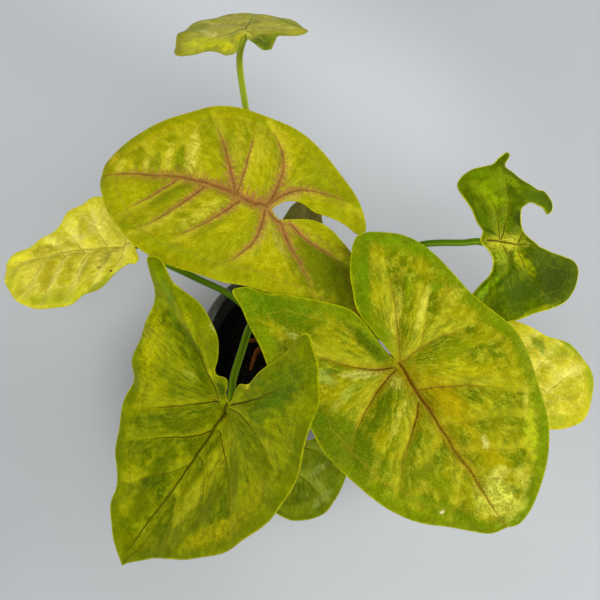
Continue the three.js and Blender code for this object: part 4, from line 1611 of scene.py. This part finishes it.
STALK_OLIVE = StalkFinish("stalk_olive", "stalk_olive", foot=(80, 90, 10), middle=(92, 116, 8),
                          top=(130, 132, 20), stripe=(62, 76, 4))
STALK_GREEN = StalkFinish("stalk_green", "stalk_green", foot=(84, 110, 10), middle=(88, 128, 6),
                          top=(104, 142, 8), stripe=(52, 80, 2))
STALK_FRESH = StalkFinish("stalk_fresh", "stalk_green", foot=(92, 118, 10), middle=(112, 146, 8),
                          top=(134, 168, 12), stripe=(60, 88, 3))
STALK_PALE = StalkFinish("stalk_pale", "stalk_pale", foot=(120, 136, 24), middle=(160, 178, 40),
                         top=(176, 186, 50), stripe=(96, 118, 10))


# -------- the leaves of this plant

# Each leaf's patches hold its own colouring and also painted shade (dark valleys, folds, pockets and
# the shadow of the leaf above) and painted highlights (pale glossy patches and quilted ridges facing
# the light).
LEAVES: tuple[Leaf, ...] = (
    Leaf(
        name="upper_left", at=(-8, 41, 160), heading=164, pitch=18, roll=6, droop=42, twist=-4,
        fold=(8, 8), arch=(8, 8), reach=93, half=50, notch=(-3, 0), tip=(93.5, 0),
        left=Half(
            sinus=((-8, 5), (-14, 2), (-21, -2), (-29, -4), (-38, -2), (-46, 4), (-53, 13), (-61, 27),
                   (-67, 41)),
            side=((-70, 49), (-67, 56), (-54, 54), (-38, 51), (-18, 49.4), (-3, 50), (9, 52.8),
                  (23, 53), (37, 51.4), (53, 45.6), (65, 37), (79, 24), (89.5, 9))),
        right=Half(
            sinus=((-8, -7), (-16, -10), (-25, -8), (-34, -9), (-43, -9), (-51, -7)),
            side=((-55, -11), (-52.5, -17), (-46.4, -25.4), (-36.6, -35.2), (-23, -45.2), (-5.6, -52.4),
                  (11, -54.2), (28, -54), (42.4, -50.4), (54, -44), (64.5, -36.5), (77, -26.5),
                  (88, -18), (94, -9))),
        stalk=((-6.5, 12.5, 100), (-6, 28, 140)), angle=150,
        veins=(
            Vein((0, 0), (92, 0), -3.0, 2.1, 1.2),
            Vein((18, -1), (43, -43), -1.6, 1.4), Vein((17, -2), (20, -46), -1.0, 0.7, 0.4),
            Vein((1, -1), (15, -50), -9.6, 1.8), Vein((0, -1), (-47, -21), 10.4, 1.4),
            Vein((14, 1), (40, 39), 1.9, 1.2), Vein((34, 0), (60, 37), 1.6, 1.1),
            Vein((50, -1), (71, 26), 1.1, 0.8, 0.7), Vein((0, 3), (15, 47), 6.0, 1.2),
            Vein((-8, 6), (-36, 42), 1.6, 1.3), Vein((-2, 3), (-16, 5), -3.0, 1.2, 0.6),
            Vein((-14, 5), (-50, 18), 1.0, 1.0), Vein((37, -1), (56, -26), 0.2, 0.7, 0.6, ink=0.2),
            Vein((56, -1), (74, -18), -1.0, 0.6, 0.5, ink=0.1)),
        finish=MUSTARD, stalk_finish=STALK_OLIVE,
        relief=Relief(quilt=2.2, spread=5.2, wave=0.5, wave_length=46, ripple=1.6, seed=1.3),
        tint_and_light_patches=patches(
            (46, -19, 15, 3.5, -81, 216, 204, 72, 0.9), (57, -13, 9, 2.5, -83, 208, 198, 60, 0.85),
            (68, -8, 5, 2.5, -86, 208, 198, 62, 0.8), (83, -6, 5, 3.5, 87, 204, 194, 50, 0.7),
            (51, -14, 11, 2.5, -81, 112, 124, 5, 0.8), (63, -10, 7, 2.5, -83, 122, 134, 4, 0.75),
            (74, -7, 5, 2, -87, 130, 140, 4, 0.7), (90, -11, 5, 4, 31, 206, 176, 30, 0.8),
            (73, 15, 15, 16, 88, 176, 174, 6, 0.55), (48, 9, 17, 4, 51, 108, 118, 5, 0.7),
            (30, 18, 19, 3.5, 57, 200, 190, 54, 0.65), (46, 24, 15, 4, 56, 202, 192, 46, 0.65),
            (22, 24, 15, 3.5, 60, 118, 128, 4, 0.6), (30, -30, 14, 4, -78, 116, 128, 4, 0.6),
            (-36, 25, 26, 17, -48, 88, 102, 2, 0.86), (-46, 33, 16, 11, -48, 84, 96, 2, 0.6),
            (-42, -8, 9, 5, -43, 150, 152, 6, 0.5), (8, 44, 26, 7, 2, 132, 142, 3, 0.6),
            (-8, -8, 10, 5, 40, 176, 146, 70, 0.5), (-24, -31, 27, 10, -35, 126, 134, 3, 0.7),
            (12, -31, 12, 5, -90, 178, 170, 40, 0.5), (23, -26, 14, 3.5, -78, 182, 172, 40, 0.55),
            (38, -31, 12, 3.5, -81, 140, 146, 4, 0.5), (-10, -29, 16, 4, 65, 138, 144, 4, 0.5),
            (-2, 17, 14, 4, 81, 176, 166, 60, 0.5), (-12, 19, 11, 3, -52, 180, 166, 70, 0.5),
            (14, 30, 21, 5, 39, 138, 148, 4, 0.5), (38, 42, 19, 4, -9, 128, 146, 3, 0.6),
            (-23, 19, 10, 4, -42, 120, 128, 4, 0.5), (2.5, -0.5, 5, 1, 54, 196, 206, 20, 0.7),
            (-13, -1, 9, 1.5, 17, 140, 160, 8, 0.7)),
    ),
    Leaf(
        name="right", at=(56.5, -43.5, 156), heading=-54, pitch=-10, roll=-2, droop=28, twist=10,
        fold=(4, 2), arch=(6, 6), lobe_droop=14, reach=91, half=55, notch=(-2.5, -0.5), tip=(96.4, 2.6),
        left=Half(
            sinus=((-9, -0.7), (-16, -0.8), (-23, -0.8), (-29, -0.8), (-36, 0.8), (-42, 4), (-51, 9),
                   (-61, 18)),
            side=((-66, 25), (-65, 32), (-60, 39), (-53, 46), (-43, 50), (-22, 52), (-5, 52.5),
                  (16, 57), (29, 56), (44, 52), (61, 46), (74, 38), (85, 28.6), (94, 18), (98, 9))),
        right=Half(
            sinus=((-9, -1.3), (-15, -1.4), (-23, -1.4), (-29, -1.6), (-36, -3.6), (-43, -9.4),
                   (-49, -15), (-58, -25), (-62, -32)),
            side=((-71, -39), (-73, -46), (-64, -47), (-55, -49), (-43, -51), (-30, -54), (-16, -54),
                  (-2, -53), (13, -54), (29, -51), (46, -46), (57, -41), (67, -34), (78, -23),
                  (88, -14), (95, -6))),
        stalk=((9, -8, 105), (28, -24, 141)), angle=310,
        veins=(
            Vein((0, 0), (95, 2), -1.8, 2.2, 1.3),
            Vein((-1, 1), (-46, 28), -1.4, 1.0, ink=0.7),
            Vein((0, 12), (-18, 32), -0.9, 0.8, 0.8, ink=0.4),
            Vein((0, 1), (6, 42), 2.6, 1.1, ink=0.7), Vein((15, 0), (46, 44), 2.4, 1.1, ink=0.8),
            Vein((35, 0), (57, 40), 0.9, 0.8, ink=0.25), Vein((50, -1), (68, 32), -0.8, 0.8, ink=0.2),
            Vein((2, -3), (23, -46), -4.4, 1.2), Vein((21, -3), (49, -35), -1.3, 1.1),
            Vein((1, -3), (-38, -38), 3.8, 1.1), Vein((38, -2), (60, -28), -1.0, 0.6, 0.6, ink=0.25),
            Vein((58, -1), (76, -18), -0.6, 0.6, 0.5, ink=0.2),
            Vein((66, 1), (80, 24), -0.6, 0.6, 0.6, ink=0.2)),
        finish=MOTTLED, stalk_finish=STALK_GREEN,
        relief=Relief(quilt=2.8, spread=5.4, wave=0.6, wave_length=52, ripple=1.8, seed=4.4),
        creases=(Crease((-2, -0.85), (-50, -0.85), -0.8, 6.0, 0.2),),
        tint_and_light_patches=patches(
            (-16, -7, 16, 4, 12, 66, 90, 2, 0.95), (-46, 14, 25, 4, -42, 90, 122, 2, 0.85),
            (-48, 41, 21, 6, 39, 104, 136, 2, 0.8), (-50, -31, 23, 8, 40, 82, 110, 2, 0.9),
            (-59, -38, 12, 5, 14, 84, 116, 2, 0.8), (16, -44, 28, 10, 15, 82, 104, 2, 0.9),
            (-1.5, -45, 10, 5, -4, 78, 104, 2, 0.8), (13, -21, 16, 3.5, -65, 80, 102, 2, 0.9),
            (37, -21, 12, 3, -53, 104, 120, 3, 0.75), (48, -18, 9, 5, -86, 88, 108, 3, 0.85),
            (58, -16, 12, 5, 20, 120, 132, 3, 0.6), (12, -38, 16, 6, 10, 88, 110, 2, 0.7),
            (67, -22, 25, 4, 36, 100, 122, 3, 0.75), (28, 9, 20, 7, 7, 162, 144, 1, 0.85),
            (61, 12, 17, 6, 5, 166, 154, 2, 0.75), (23, 28, 17, 3.5, 68, 172, 164, 6, 0.7),
            (37, 36, 11, 3.5, 57, 160, 160, 4, 0.6), (10, 26, 11, 4, 80, 116, 132, 3, 0.75),
            (12, 39, 11, 3, 89, 150, 154, 4, 0.5), (81, 4, 14, 10, 11, 212, 214, 76, 0.95),
            (78, 20, 7, 5, -7, 198, 196, 64, 0.75), (54, 13, 2, 4, 76, 214, 210, 110, 0.8),
            (70, 11, 6, 4, 87, 206, 204, 84, 0.7), (-21, 15, 14, 2.5, -45, 204, 196, 60, 0.75),
            (-16, 28, 15, 2.5, -57, 206, 200, 64, 0.75), (-32, 10, 7, 2, -29, 170, 172, 20, 0.6),
            (-12, 43, 8, 4, -76, 200, 196, 50, 0.65), (-6, 30, 11, 2.5, -81, 190, 186, 40, 0.6),
            (-27, 27, 7, 2, -49, 124, 144, 3, 0.7), (-21, 41, 7, 3.5, -67, 110, 134, 3, 0.7),
            (-6, -17, 12, 2.5, 64, 200, 200, 90, 0.85), (6, -7, 4, 5, -67, 190, 186, 70, 0.6),
            (-15, -34, 7, 4, 36, 164, 176, 70, 0.55), (-3.5, -26, 9, 2.5, 90, 150, 160, 40, 0.5),
            (21, -17, 12, 2, -61, 196, 188, 60, 0.8), (-1.5, -34, 8, 2.5, -76, 170, 176, 60, 0.5),
            (33, -39, 8, 2, -59, 170, 170, 40, 0.6), (-36, -33, 7, 2, 36, 190, 192, 90, 0.5),
            (-26, -23, 10, 3, 34, 150, 156, 10, 0.55), (61, 36, 3.5, 18, 58, 176, 186, 24, 0.75),
            (48, 42, 1.5, 9, 50, 194, 190, 60, 0.6), (89, 13, 5, 4, -80, 186, 188, 60, 0.6),
            (60, 0, 8, 2.5, 4, 190, 180, 40, 0.6), (40, -5, 7, 3, -66, 160, 150, 4, 0.6),
            (39, 10, 12, 2, 64, 150, 150, 3, 0.5), (47, 26, 11, 3, 61, 130, 142, 4, 0.6),
            (69, -23, 1.5, 1, 64, 226, 214, 160, 0.9)),
    ),
    Leaf(
        name="lower_left", at=(-27, -56, 131), heading=-122, pitch=-50, roll=14, droop=-44,
        twist=14, fold=(26, 20), arch=(14, 14), reach=101, half=55, notch=(-1, 0),
        tip=(104.4, 1), entry=(4.4, 3.8, -2.6),
        left=Half(
            sinus=((-6, 3.1), (-11.5, 2.9), (-16, 3.4), (-20, 8.2), (-25, 11.4), (-38, 17), (-52, 23)),
            side=((-61, 25), (-66, 29), (-62, 35), (-57, 43), (-46, 51), (-34, 53), (-16, 58), (-2, 61),
                  (14, 61), (37, 57), (54, 50.4), (70, 39), (81.4, 26.8), (91, 13.4))),
        right=Half(
            sinus=((-5, -2.5), (-10, -3), (-13.6, -4.4), (-13.8, -7), (-12.6, -9.8), (-14, -12.2),
                   (-20, -13), (-33, -16), (-41, -23), (-46, -31), (-49, -41)),
            side=((-53, -50), (-57, -56.6), (-54, -62.4), (-46.6, -58.8), (-37.6, -54.8), (-27, -53.8),
                  (-8, -56.8), (7, -57.6), (20, -53.6), (34, -54.6), (47, -51.8), (61.6, -45.6),
                  (71, -37.4), (79, -31.4), (87, -28), (93.4, -21), (99.6, -13))),
        stalk=((-9, -2, 88), (-13, -5, 114), (-17, -13, 128), (-20.5, -27, 131), (-24.5, -43, 131)),
        angle=230,
        veins=(
            Vein((0, 0), (102, -4), -2.1, 1.9, 1.4),
            Vein((3, -5), (36, -44), -0.2, 1.0), Vein((22, -3), (53, -38), 0.2, 0.9),
            Vein((44, -4), (73, -28), 0.7, 0.6, 0.6, ink=0.5), Vein((19, 0), (42, 46), 4.3, 1.0),
            Vein((36, -3), (57, 30), 3.0, 0.7, 0.8, ink=0.4), Vein((-1, 4), (-2, 44), 3.7, 0.9),
            Vein((-3, 4), (-41, 34), -0.4, 1.1), Vein((1, -6), (-33, -41), -1.9, 1.1),
            Vein((60, -5), (76, 16), 2.0, 0.5, 0.5, ink=0.3)),
        finish=GREEN_MOTTLED, stalk_finish=STALK_FRESH,
        relief=Relief(quilt=3.0, spread=5.6, wave=0.8, wave_length=30, ripple=2.2, seed=7.1),
        creases=(Crease((-13, -15), (-52, -47), 2.2, 7.0, 2.4),),
        tint_and_light_patches=patches(
            (-8, -48, 22, 8, 6, 182, 180, 3, 0.9), (20, -42, 15, 9, -9, 170, 172, 4, 0.7),
            (-22, -27, 14, 4, 46, 74, 94, 2, 0.9), (-8, -18, 7, 2.5, 48, 70, 92, 2, 0.8),
            (-34, -22, 8, 3.5, 38, 150, 158, 8, 0.5), (-46, -49, 11, 4, 43, 120, 150, 3, 0.7),
            (-34, -42, 8, 3, 32, 104, 130, 3, 0.6), (54, -16, 15, 6, -6, 74, 92, 2, 0.8),
            (77, -14, 13, 6, 6, 88, 100, 2, 0.72), (25, -15, 15, 4.5, -47, 88, 102, 2, 0.7),
            (44, 26, 18, 5, 0, 90, 100, 2, 0.7), (8, -30, 12, 4, -10, 104, 118, 3, 0.5),
            (41, -28, 17, 2, -44, 100, 116, 2, 0.6), (31, -37, 17, 3, -48, 148, 152, 3, 0.5),
            (34, 11, 30, 8, -5, 176, 176, 14, 0.8), (56, 13, 15, 7, 2, 186, 184, 26, 0.75),
            (12, 22, 13, 3.5, 72, 156, 160, 16, 0.5), (22, 28, 18, 7, 43, 96, 108, 3, 0.75),
            (50, 40, 29, 6, -26, 176, 168, 6, 0.75), (20, 46, 16, 7, -8, 156, 154, 6, 0.6),
            (3, 35, 13, 7, 84, 116, 124, 3, 0.6), (-30, 27, 22, 10, -20, 76, 108, 2, 0.84),
            (-48, 36, 9, 5, 8, 104, 128, 3, 0.6), (-8, 27, 17, 3, -64, 92, 110, 2, 0.6),
            (-19, 26, 11, 1.5, -42, 140, 152, 24, 0.5), (-6, -5, 3.5, 6, -59, 62, 86, 2, 0.95),
            (-9, -12, 1, 5, -63, 196, 196, 10, 0.9), (-19, 9, 4, 1.5, -44, 206, 196, 30, 0.95),
            (-14, 12, 11, 3, -32, 84, 108, 2, 0.8), (-5, -23, 5, 3.5, 78, 160, 168, 50, 0.55),
            (-38, -20, 3, 1.5, 49, 180, 188, 90, 0.6), (65, -20, 3.5, 2.5, -51, 66, 78, 2, 0.6),
            (75, 19, 14, 5, -34, 140, 144, 20, 0.4), (95, -5, 3.5, 7, -62, 96, 104, 2, 0.6)),
    ),
    Leaf(
        name="top", at=(-22, 154, 168), heading=84, pitch=-14, roll=-2, droop=45, twist=0,
        fold=(-6, -6), arch=(8, 8), lobe_droop=4, reach=50, half=36, notch=(-4, -1),
        tip=(52, -1),
        left=Half(
            sinus=((-8, 0.9), (-15, 1.3), (-21, 2.6)),
            side=((-23, 8), (-17.6, 20), (-19.6, 29), (-20.4, 35), (-16, 39.4), (-6, 41), (7, 41.4),
                  (22.6, 37.4), (36, 28), (46.4, 13))),
        right=Half(
            sinus=((-7, -2.4), (-12, -6.4), (-16.4, -12)),
            side=((-13, -17), (-6, -18), (-1, -19), (2, -23), (8, -28), (15, -34), (22.6, -34.4),
                  (33, -28.4), (43, -17))),
        stalk=((-6, 30, 92), (-13, 70, 108), (-23, 126, 131), (-26.4, 147.4, 149)), angle=110,
        entry=(6.0, 4.0, 1.6),
        veins=(
            Vein((0, 0), (50, -1), 0.0, 1.1, 1.2), Vein((8, 0), (24, 28), 2.0, 0.8),
            Vein((20, 0), (34, 20), 1.0, 0.7), Vein((8, 0), (20, -24), -2.0, 0.8),
            Vein((22, 0), (34, -18), -1.0, 0.7), Vein((0, 1), (-12, 30), -2.0, 0.9),
            Vein((-1, -1), (-10, -14), 1.0, 0.8)),
        finish=OLIVE_TOP, stalk_finish=STALK_PALE,
        relief=Relief(quilt=1.3, spread=4.0, wave=0.7, wave_length=24, ripple=1.4, seed=9.0),
        tint_and_light_patches=patches(
            (-10, -11, 7, 9, -88, 66, 94, 3, 0.95), (-10, 18, 12, 7, 88, 196, 198, 10, 0.85),
            (-11, 30, 8, 5, 77, 184, 190, 20, 0.7), (-16, 9, 6, 4, 69, 206, 204, 20, 0.8),
            (25, -22, 11, 4, 75, 104, 126, 20, 0.75), (-3, -18, 10, 4, -47, 96, 120, 10, 0.7),
            (10, 32, 12, 10, -37, 120, 134, 20, 0.7), (13, -1, 3, 8, 36, 64, 70, 20, 0.8),
            (9, 13, 13, 10, 79, 176, 168, 80, 0.5), (16, -7, 12, 15, -47, 160, 158, 70, 0.5),
            (-0.5, 21, 13, 3, 54, 196, 188, 110, 0.6), (-8, 2, 6, 3, -10, 196, 186, 20, 0.6)),
    ),
    Leaf(
        name="far_left", at=(-89, 46, 112), heading=176, pitch=-12, roll=-6, droop=18, twist=14,
        fold=(4, 2), arch=(8, 8), reach=93, half=40, notch=(-3, 0), tip=(87, 5),
        left=Half(
            sinus=((-4, 3), (-6, 7)),
            side=((-7, 10), (-4, 12.4), (-1, 12), (2, 14), (8, 20.8), (16, 27.8), (23, 31), (30, 35.8),
                  (39, 38.6), (48, 39.4), (60, 36.6), (69, 31.8), (77, 24), (84, 14))),
        right=Half(
            sinus=((-10, -4), (-18, -9)),
            side=((-22, -16), (-17, -22.6), (-6, -24.8), (5, -26), (15, -30), (26, -34), (36.4, -33),
                  (47, -28.6), (51.4, -20.6), (58, -13.6), (65, -9.6), (72, -6.6), (82, -2.4))),
        stalk=((-15, 7.2, 86), (-29, 18, 99), (-53, 27, 109), (-74, 38, 110)), angle=190,
        entry=(3.5, 7),
        veins=(
            Vein((0, 0), (85, 5), -2.4, 1.1, 1.3), Vein((15, 1), (20, 26), -0.4, 0.8),
            Vein((28, 2), (36, 32), -0.1, 0.8), Vein((44, 2), (51, 34), -0.2, 0.8),
            Vein((58, 3), (64, 30), -0.3, 0.7), Vein((16, 1), (32, -24), 0.5, 0.8),
            Vein((31, 2), (49, -16), 0.4, 0.7), Vein((46, 2), (62, -8), -0.8, 0.6),
            Vein((4, 1), (8, 18), 0.0, 0.7), Vein((3, 0), (12, -22), 0.0, 0.8)),
        finish=BRIGHT_YELLOW, stalk_finish=STALK_GREEN,
        relief=Relief(quilt=3.8, spread=4.2, wave=0.9, wave_length=22, ripple=1.4, seed=2.2),
        tint_and_light_patches=patches(
            (44, 16, 13, 4, 83, 238, 226, 96, 0.95), (30, 15, 12, 3.5, 73, 238, 224, 100, 0.95),
            (18, 7, 8, 3.5, 67, 220, 206, 80, 0.7), (62, 14, 12, 5, 84, 232, 218, 70, 0.9),
            (51, 16, 15, 4.2, 87, 176, 162, 4, 0.72), (37, 15, 14, 3.8, 79, 180, 168, 6, 0.72),
            (25, 12, 12, 3, 70, 156, 150, 8, 0.65), (14, 6, 8, 4, 69, 128, 132, 6, 0.75),
            (61, -2, 11, 4, 7, 150, 134, 6, 0.65), (46, -3, 9, 3, 3, 164, 154, 8, 0.5),
            (36, -15, 3, 8, 13, 160, 154, 16, 0.55), (28, -16, 3.5, 8, 3, 226, 214, 100, 0.7),
            (38, -8, 9, 2, -2, 226, 214, 110, 0.6), (20, -22, 6, 7, 27, 222, 210, 80, 0.6),
            (41, 32, 23, 6, 4, 172, 178, 20, 0.7), (14, 26, 13, 5, 41, 128, 148, 8, 0.75),
            (76, 18, 4, 12, -6, 166, 176, 20, 0.6), (18, 13, 1.5, 1, -2, 40, 30, 10, 0.9),
            (9, 17, 1, 1, -2, 50, 40, 10, 0.9), (7, 1, 8, 3, 36, 226, 216, 90, 0.6)),
    ),
    Leaf(
        name="far_right", at=(116, 45, 118), heading=-1, pitch=-8, roll=0, droop=20, twist=0,
        fold=(12, -10), arch=(8, 8), reach=45, half=45, notch=(-4.6, 0), tip=(33, 1),
        left=Half(
            sinus=((-3.6, 2.4), (-3, 5.6), (-6.4, 10.3)),
            side=((-9, 17), (-15, 27), (-17, 33), (-14, 39), (-8, 44), (0, 47), (5, 49), (8.6, 53.6),
                  (14, 58.6), (16, 56.4), (12.6, 49), (18, 46), (24, 41), (32, 37), (37, 37), (42, 32),
                  (42, 26), (38, 22), (35, 26), (28, 27), (22, 23), (21, 16), (24, 8))),
        right=Half(
            sinus=((-3.4, -2.4), (-0.6, -4.6), (2, -8), (3, -13), (1, -20), (-5, -27)),
            side=((-12, -36), (-3, -45), (8, -48), (15, -46), (24, -43), (32, -39), (44, -34),
                  (56.2, -27), (63.4, -15.6), (65.4, -6), (61, -0.6), (53, 0.5), (42, 0))),
        stalk=((16, 12, 94), (44, 30, 109), (78, 44, 114), (104, 45, 115)), angle=30,
        entry=(2.6, 6),
        veins=(
            Vein((0, 0), (32, 1), -0.5, 1.3, 1.0), Vein((20, 1), (23, 20), -1.6, 0.8),
            Vein((10, -3), (12, -20), 2.0, 0.7, 0.6), Vein((20, -2), (40, -26), -4.0, 0.8),
            Vein((7, 1), (-4, 34), -4.0, 0.7), Vein((8, 1), (10, 44), -4.0, 0.7)),
        finish=DARK_GREEN, stalk_finish=STALK_GREEN,
        relief=Relief(quilt=0.9, spread=3.0, wave=0.5, wave_length=26, ripple=2.0,
                      ripple_size=16, seed=5.5),
        creases=(Crease((20, -12), (0, -32), 1.6, 8.0, 2.6),
                 Crease((4, 25), (30, 27), 2.4, 8.0, 3.0)),
        tint_and_light_patches=patches(
            (43, -16, 20, 13, 42, 46, 62, 1, 1.0), (22, -29, 19, 8, 26, 54, 78, 1, 0.95),
            (37, -8, 9, 3.5, -3, 60, 80, 1, 0.8), (35, -36.5, 21, 2, 27, 160, 164, 6, 0.5),
            (11, 0, 15, 6, 9, 196, 190, 50, 0.9), (7, -9, 6, 6, 7, 150, 164, 30, 0.8),
            (20, -7, 4, 7, 18, 176, 180, 14, 0.85), (27, -13, 3.5, 6, 34, 140, 152, 6, 0.7),
            (1, 34, 11, 7, 37, 120, 146, 4, 0.8), (-4, 42, 7, 3.5, 36, 110, 142, 6, 0.7),
            (7, 25, 5, 6, 79, 128, 150, 6, 0.8), (15, 40, 7, 4, -23, 136, 158, 6, 0.7),
            (2, 27, 9, 4, -70, 134, 156, 6, 0.7), (27, 32, 9, 3, -17, 66, 96, 2, 0.8),
            (18, 30, 5, 1.5, 1, 60, 90, 2, 0.7), (20, 15, 4, 6, 11, 34, 58, 1, 0.97),
            (11, 11, 4, 6, 44, 84, 112, 2, 0.8), (-2.5, 12, 6, 2.5, -49, 74, 106, 2, 0.8),
            (1.5, 5, 6, 1.5, -25, 44, 70, 1, 0.8), (40, 27, 3, 3.5, 16, 54, 80, 2, 0.8),
            (-6, -35, 8, 3, 47, 140, 176, 30, 0.9), (1, -26, 9, 2, 43, 120, 156, 10, 0.9),
            (9, -23, 9, 1.5, 46, 50, 78, 1, 0.85)),
    ),
    Leaf(
        name="lower_right", at=(108, -15, 100), heading=-25, pitch=-12, roll=4, droop=18,
        twist=0, fold=(4, 4), arch=(12, 12), reach=70, half=35, notch=(-3, 0), tip=(79, 3.4),
        left=Half(
            sinus=((-10, 5), (-20, 8)),
            side=((-26, 14), (-23, 22), (-10, 25), (3, 25), (14, 27), (24, 28), (34, 29), (46, 32),
                  (56, 32), (64.4, 30), (71.6, 26), (77, 18), (79, 10))),
        right=Half(
            sinus=((-10, -6), (-20, -10)),
            side=((-27, -16), (-24, -23), (-12, -27), (4, -30), (20, -30), (34, -29), (46, -25),
                  (56.6, -19.8), (66, -14.6), (73, -9), (77.4, -3.4))),
        stalk=((18, 0, 86), (54, -6, 97), (92, -12, 95)), angle=350,
        veins=(
            Vein((0, 0), (68, 1), -0.9, 1.0, 1.2), Vein((20, 0), (30, 25), 1.2, 0.7),
            Vein((35, 0), (46, 28), 1.2, 0.7), Vein((50, 1), (66, 25), 1.3, 0.7),
            Vein((20, 0), (34, -24), -0.6, 0.7), Vein((45, 0), (56, -15), -0.3, 0.7),
            Vein((4, 0), (12, 22), 1.0, 0.7), Vein((4, 0), (12, -26), -1.0, 0.7)),
        finish=PALE_YELLOW, stalk_finish=STALK_PALE,
        relief=Relief(quilt=2.2, spread=4.4, wave=0.7, wave_length=26, ripple=1.2, seed=3.7),
        tint_and_light_patches=patches(
            (51, 32, 17, 4, -8, 112, 136, 8, 0.8), (73, 21, 4, 12, 29, 130, 150, 14, 0.7),
            (46, 25, 9, 3.5, 4, 150, 158, 20, 0.7), (33, 21, 8, 4, -21, 96, 120, 4, 0.8),
            (57, -1, 13, 3, 41, 176, 172, 40, 0.6), (57, 17, 12, 3.5, 44, 232, 222, 110, 0.6),
            (59, -13, 12, 3, 36, 156, 168, 20, 0.7), (43, 14, 7, 2.5, -8, 226, 216, 90, 0.6),
            (66, 6, 10, 2, 52, 150, 146, 20, 0.5), (65, 29, 4, 6, -4, 186, 182, 40, 0.5)),
    ),
    Leaf(
        name="lower_front", at=(10, -68, 98), heading=-97, pitch=-14, roll=0, droop=18, twist=0,
        fold=(4, 4), arch=(14, 14), reach=50, half=30, notch=(-2, 0), tip=(40, -0.6),
        left=Half(
            sinus=((-4, 6), (-9, 11)),
            side=((-14, 17), (-10, 23), (-2, 25), (8, 26), (15, 25), (22, 23), (28, 20), (34, 16),
                  (38.4, 8.6))),
        right=Half(
            sinus=((-9, -5), (-14, -9)),
            side=((-17, -15), (-11, -21), (0, -25), (12, -25), (24, -21), (32.4, -15.4), (37.4, -9))),
        stalk=((1, -14, 88), (4, -36, 98), (8, -56, 94)), angle=270,
        veins=(
            Vein((0, 0), (40, -2), -0.6, 0.9, 1.1), Vein((1, 2), (10, 20), 1.5, 0.7),
            Vein((6, 0), (20, -20), -1.0, 0.7), Vein((16, 0), (27, 15), 0.8, 0.6),
            Vein((18, 0), (30, -14), -0.6, 0.6)),
        finish=FRESH_GREEN, stalk_finish=STALK_GREEN,
        relief=Relief(quilt=1.5, spread=4.2, wave=0.5, wave_length=22, ripple=1.0, seed=8.2),
        tint_and_light_patches=patches(
            (12, 10, 5, 2, -44, 180, 190, 90, 0.6), (17, 1, 8, 3, -54, 152, 166, 30, 0.6),
            (29, 0.5, 10, 2.5, -73, 74, 92, 3, 0.7), (26, 14, 7, 2.5, -44, 168, 180, 80, 0.6),
            (35, -2, 9, 2, 90, 150, 160, 20, 0.6), (17, 17, 4, 4, -24, 96, 118, 4, 0.7),
            (5, 6, 5, 3, -34, 126, 140, 6, 0.6)),
    ),
    Leaf(
        name="low_back", at=(8, 34, 104), heading=84, pitch=-10, roll=0, droop=12, twist=0,
        fold=(4, 4), arch=(10, 10), reach=66, half=15, notch=(-2.5, 0), tip=(66, 0),
        left=Half(
            sinus=((-7, 3), (-12, 5)),
            side=((-15, 9), (-11, 13), (0, 15), (18, 15.5), (34, 15), (52, 9))),
        right=Half(
            sinus=((-7, -3), (-12, -5)),
            side=((-15, -9), (-11, -13), (0, -13), (18, -12.5), (34, -12), (52, -8))),
        stalk=((4, 14, 84), (6, 24, 96)), angle=70,
        veins=(
            Vein((0, 0), (62, 0), 0.0, 0.9, 1.0), Vein((8, 0), (20, 11), 0.8, 0.6),
            Vein((24, 0), (38, 10), 0.8, 0.6), Vein((8, 0), (20, -10), -0.8, 0.6),
            Vein((24, 0), (38, -9), -0.8, 0.6)),
        finish=OLIVE_BROWN, stalk_finish=STALK_OLIVE,
        relief=Relief(quilt=0.7, spread=2.6, wave=0.4, wave_length=20, ripple=0.5, seed=6.1),
    ),
)


def main() -> None:
    """Builds the whole plant round its frame, in order."""
    logging.basicConfig(level=logging.INFO, format="%(name)s: %(message)s")
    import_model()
    Studio().build()
    pot = Pot()
    made = [pot.build(), Soil(pot).build(), *Crown().build()]
    for leaf in LEAVES:
        made += [Stalk(leaf).build(), Blade(leaf).build()]
    for piece in made:
        log.info("%s: %d faces", piece.name, len(piece.data.polygons))
    bpy.context.view_layer.update()


if __name__ == "__main__":
    main()
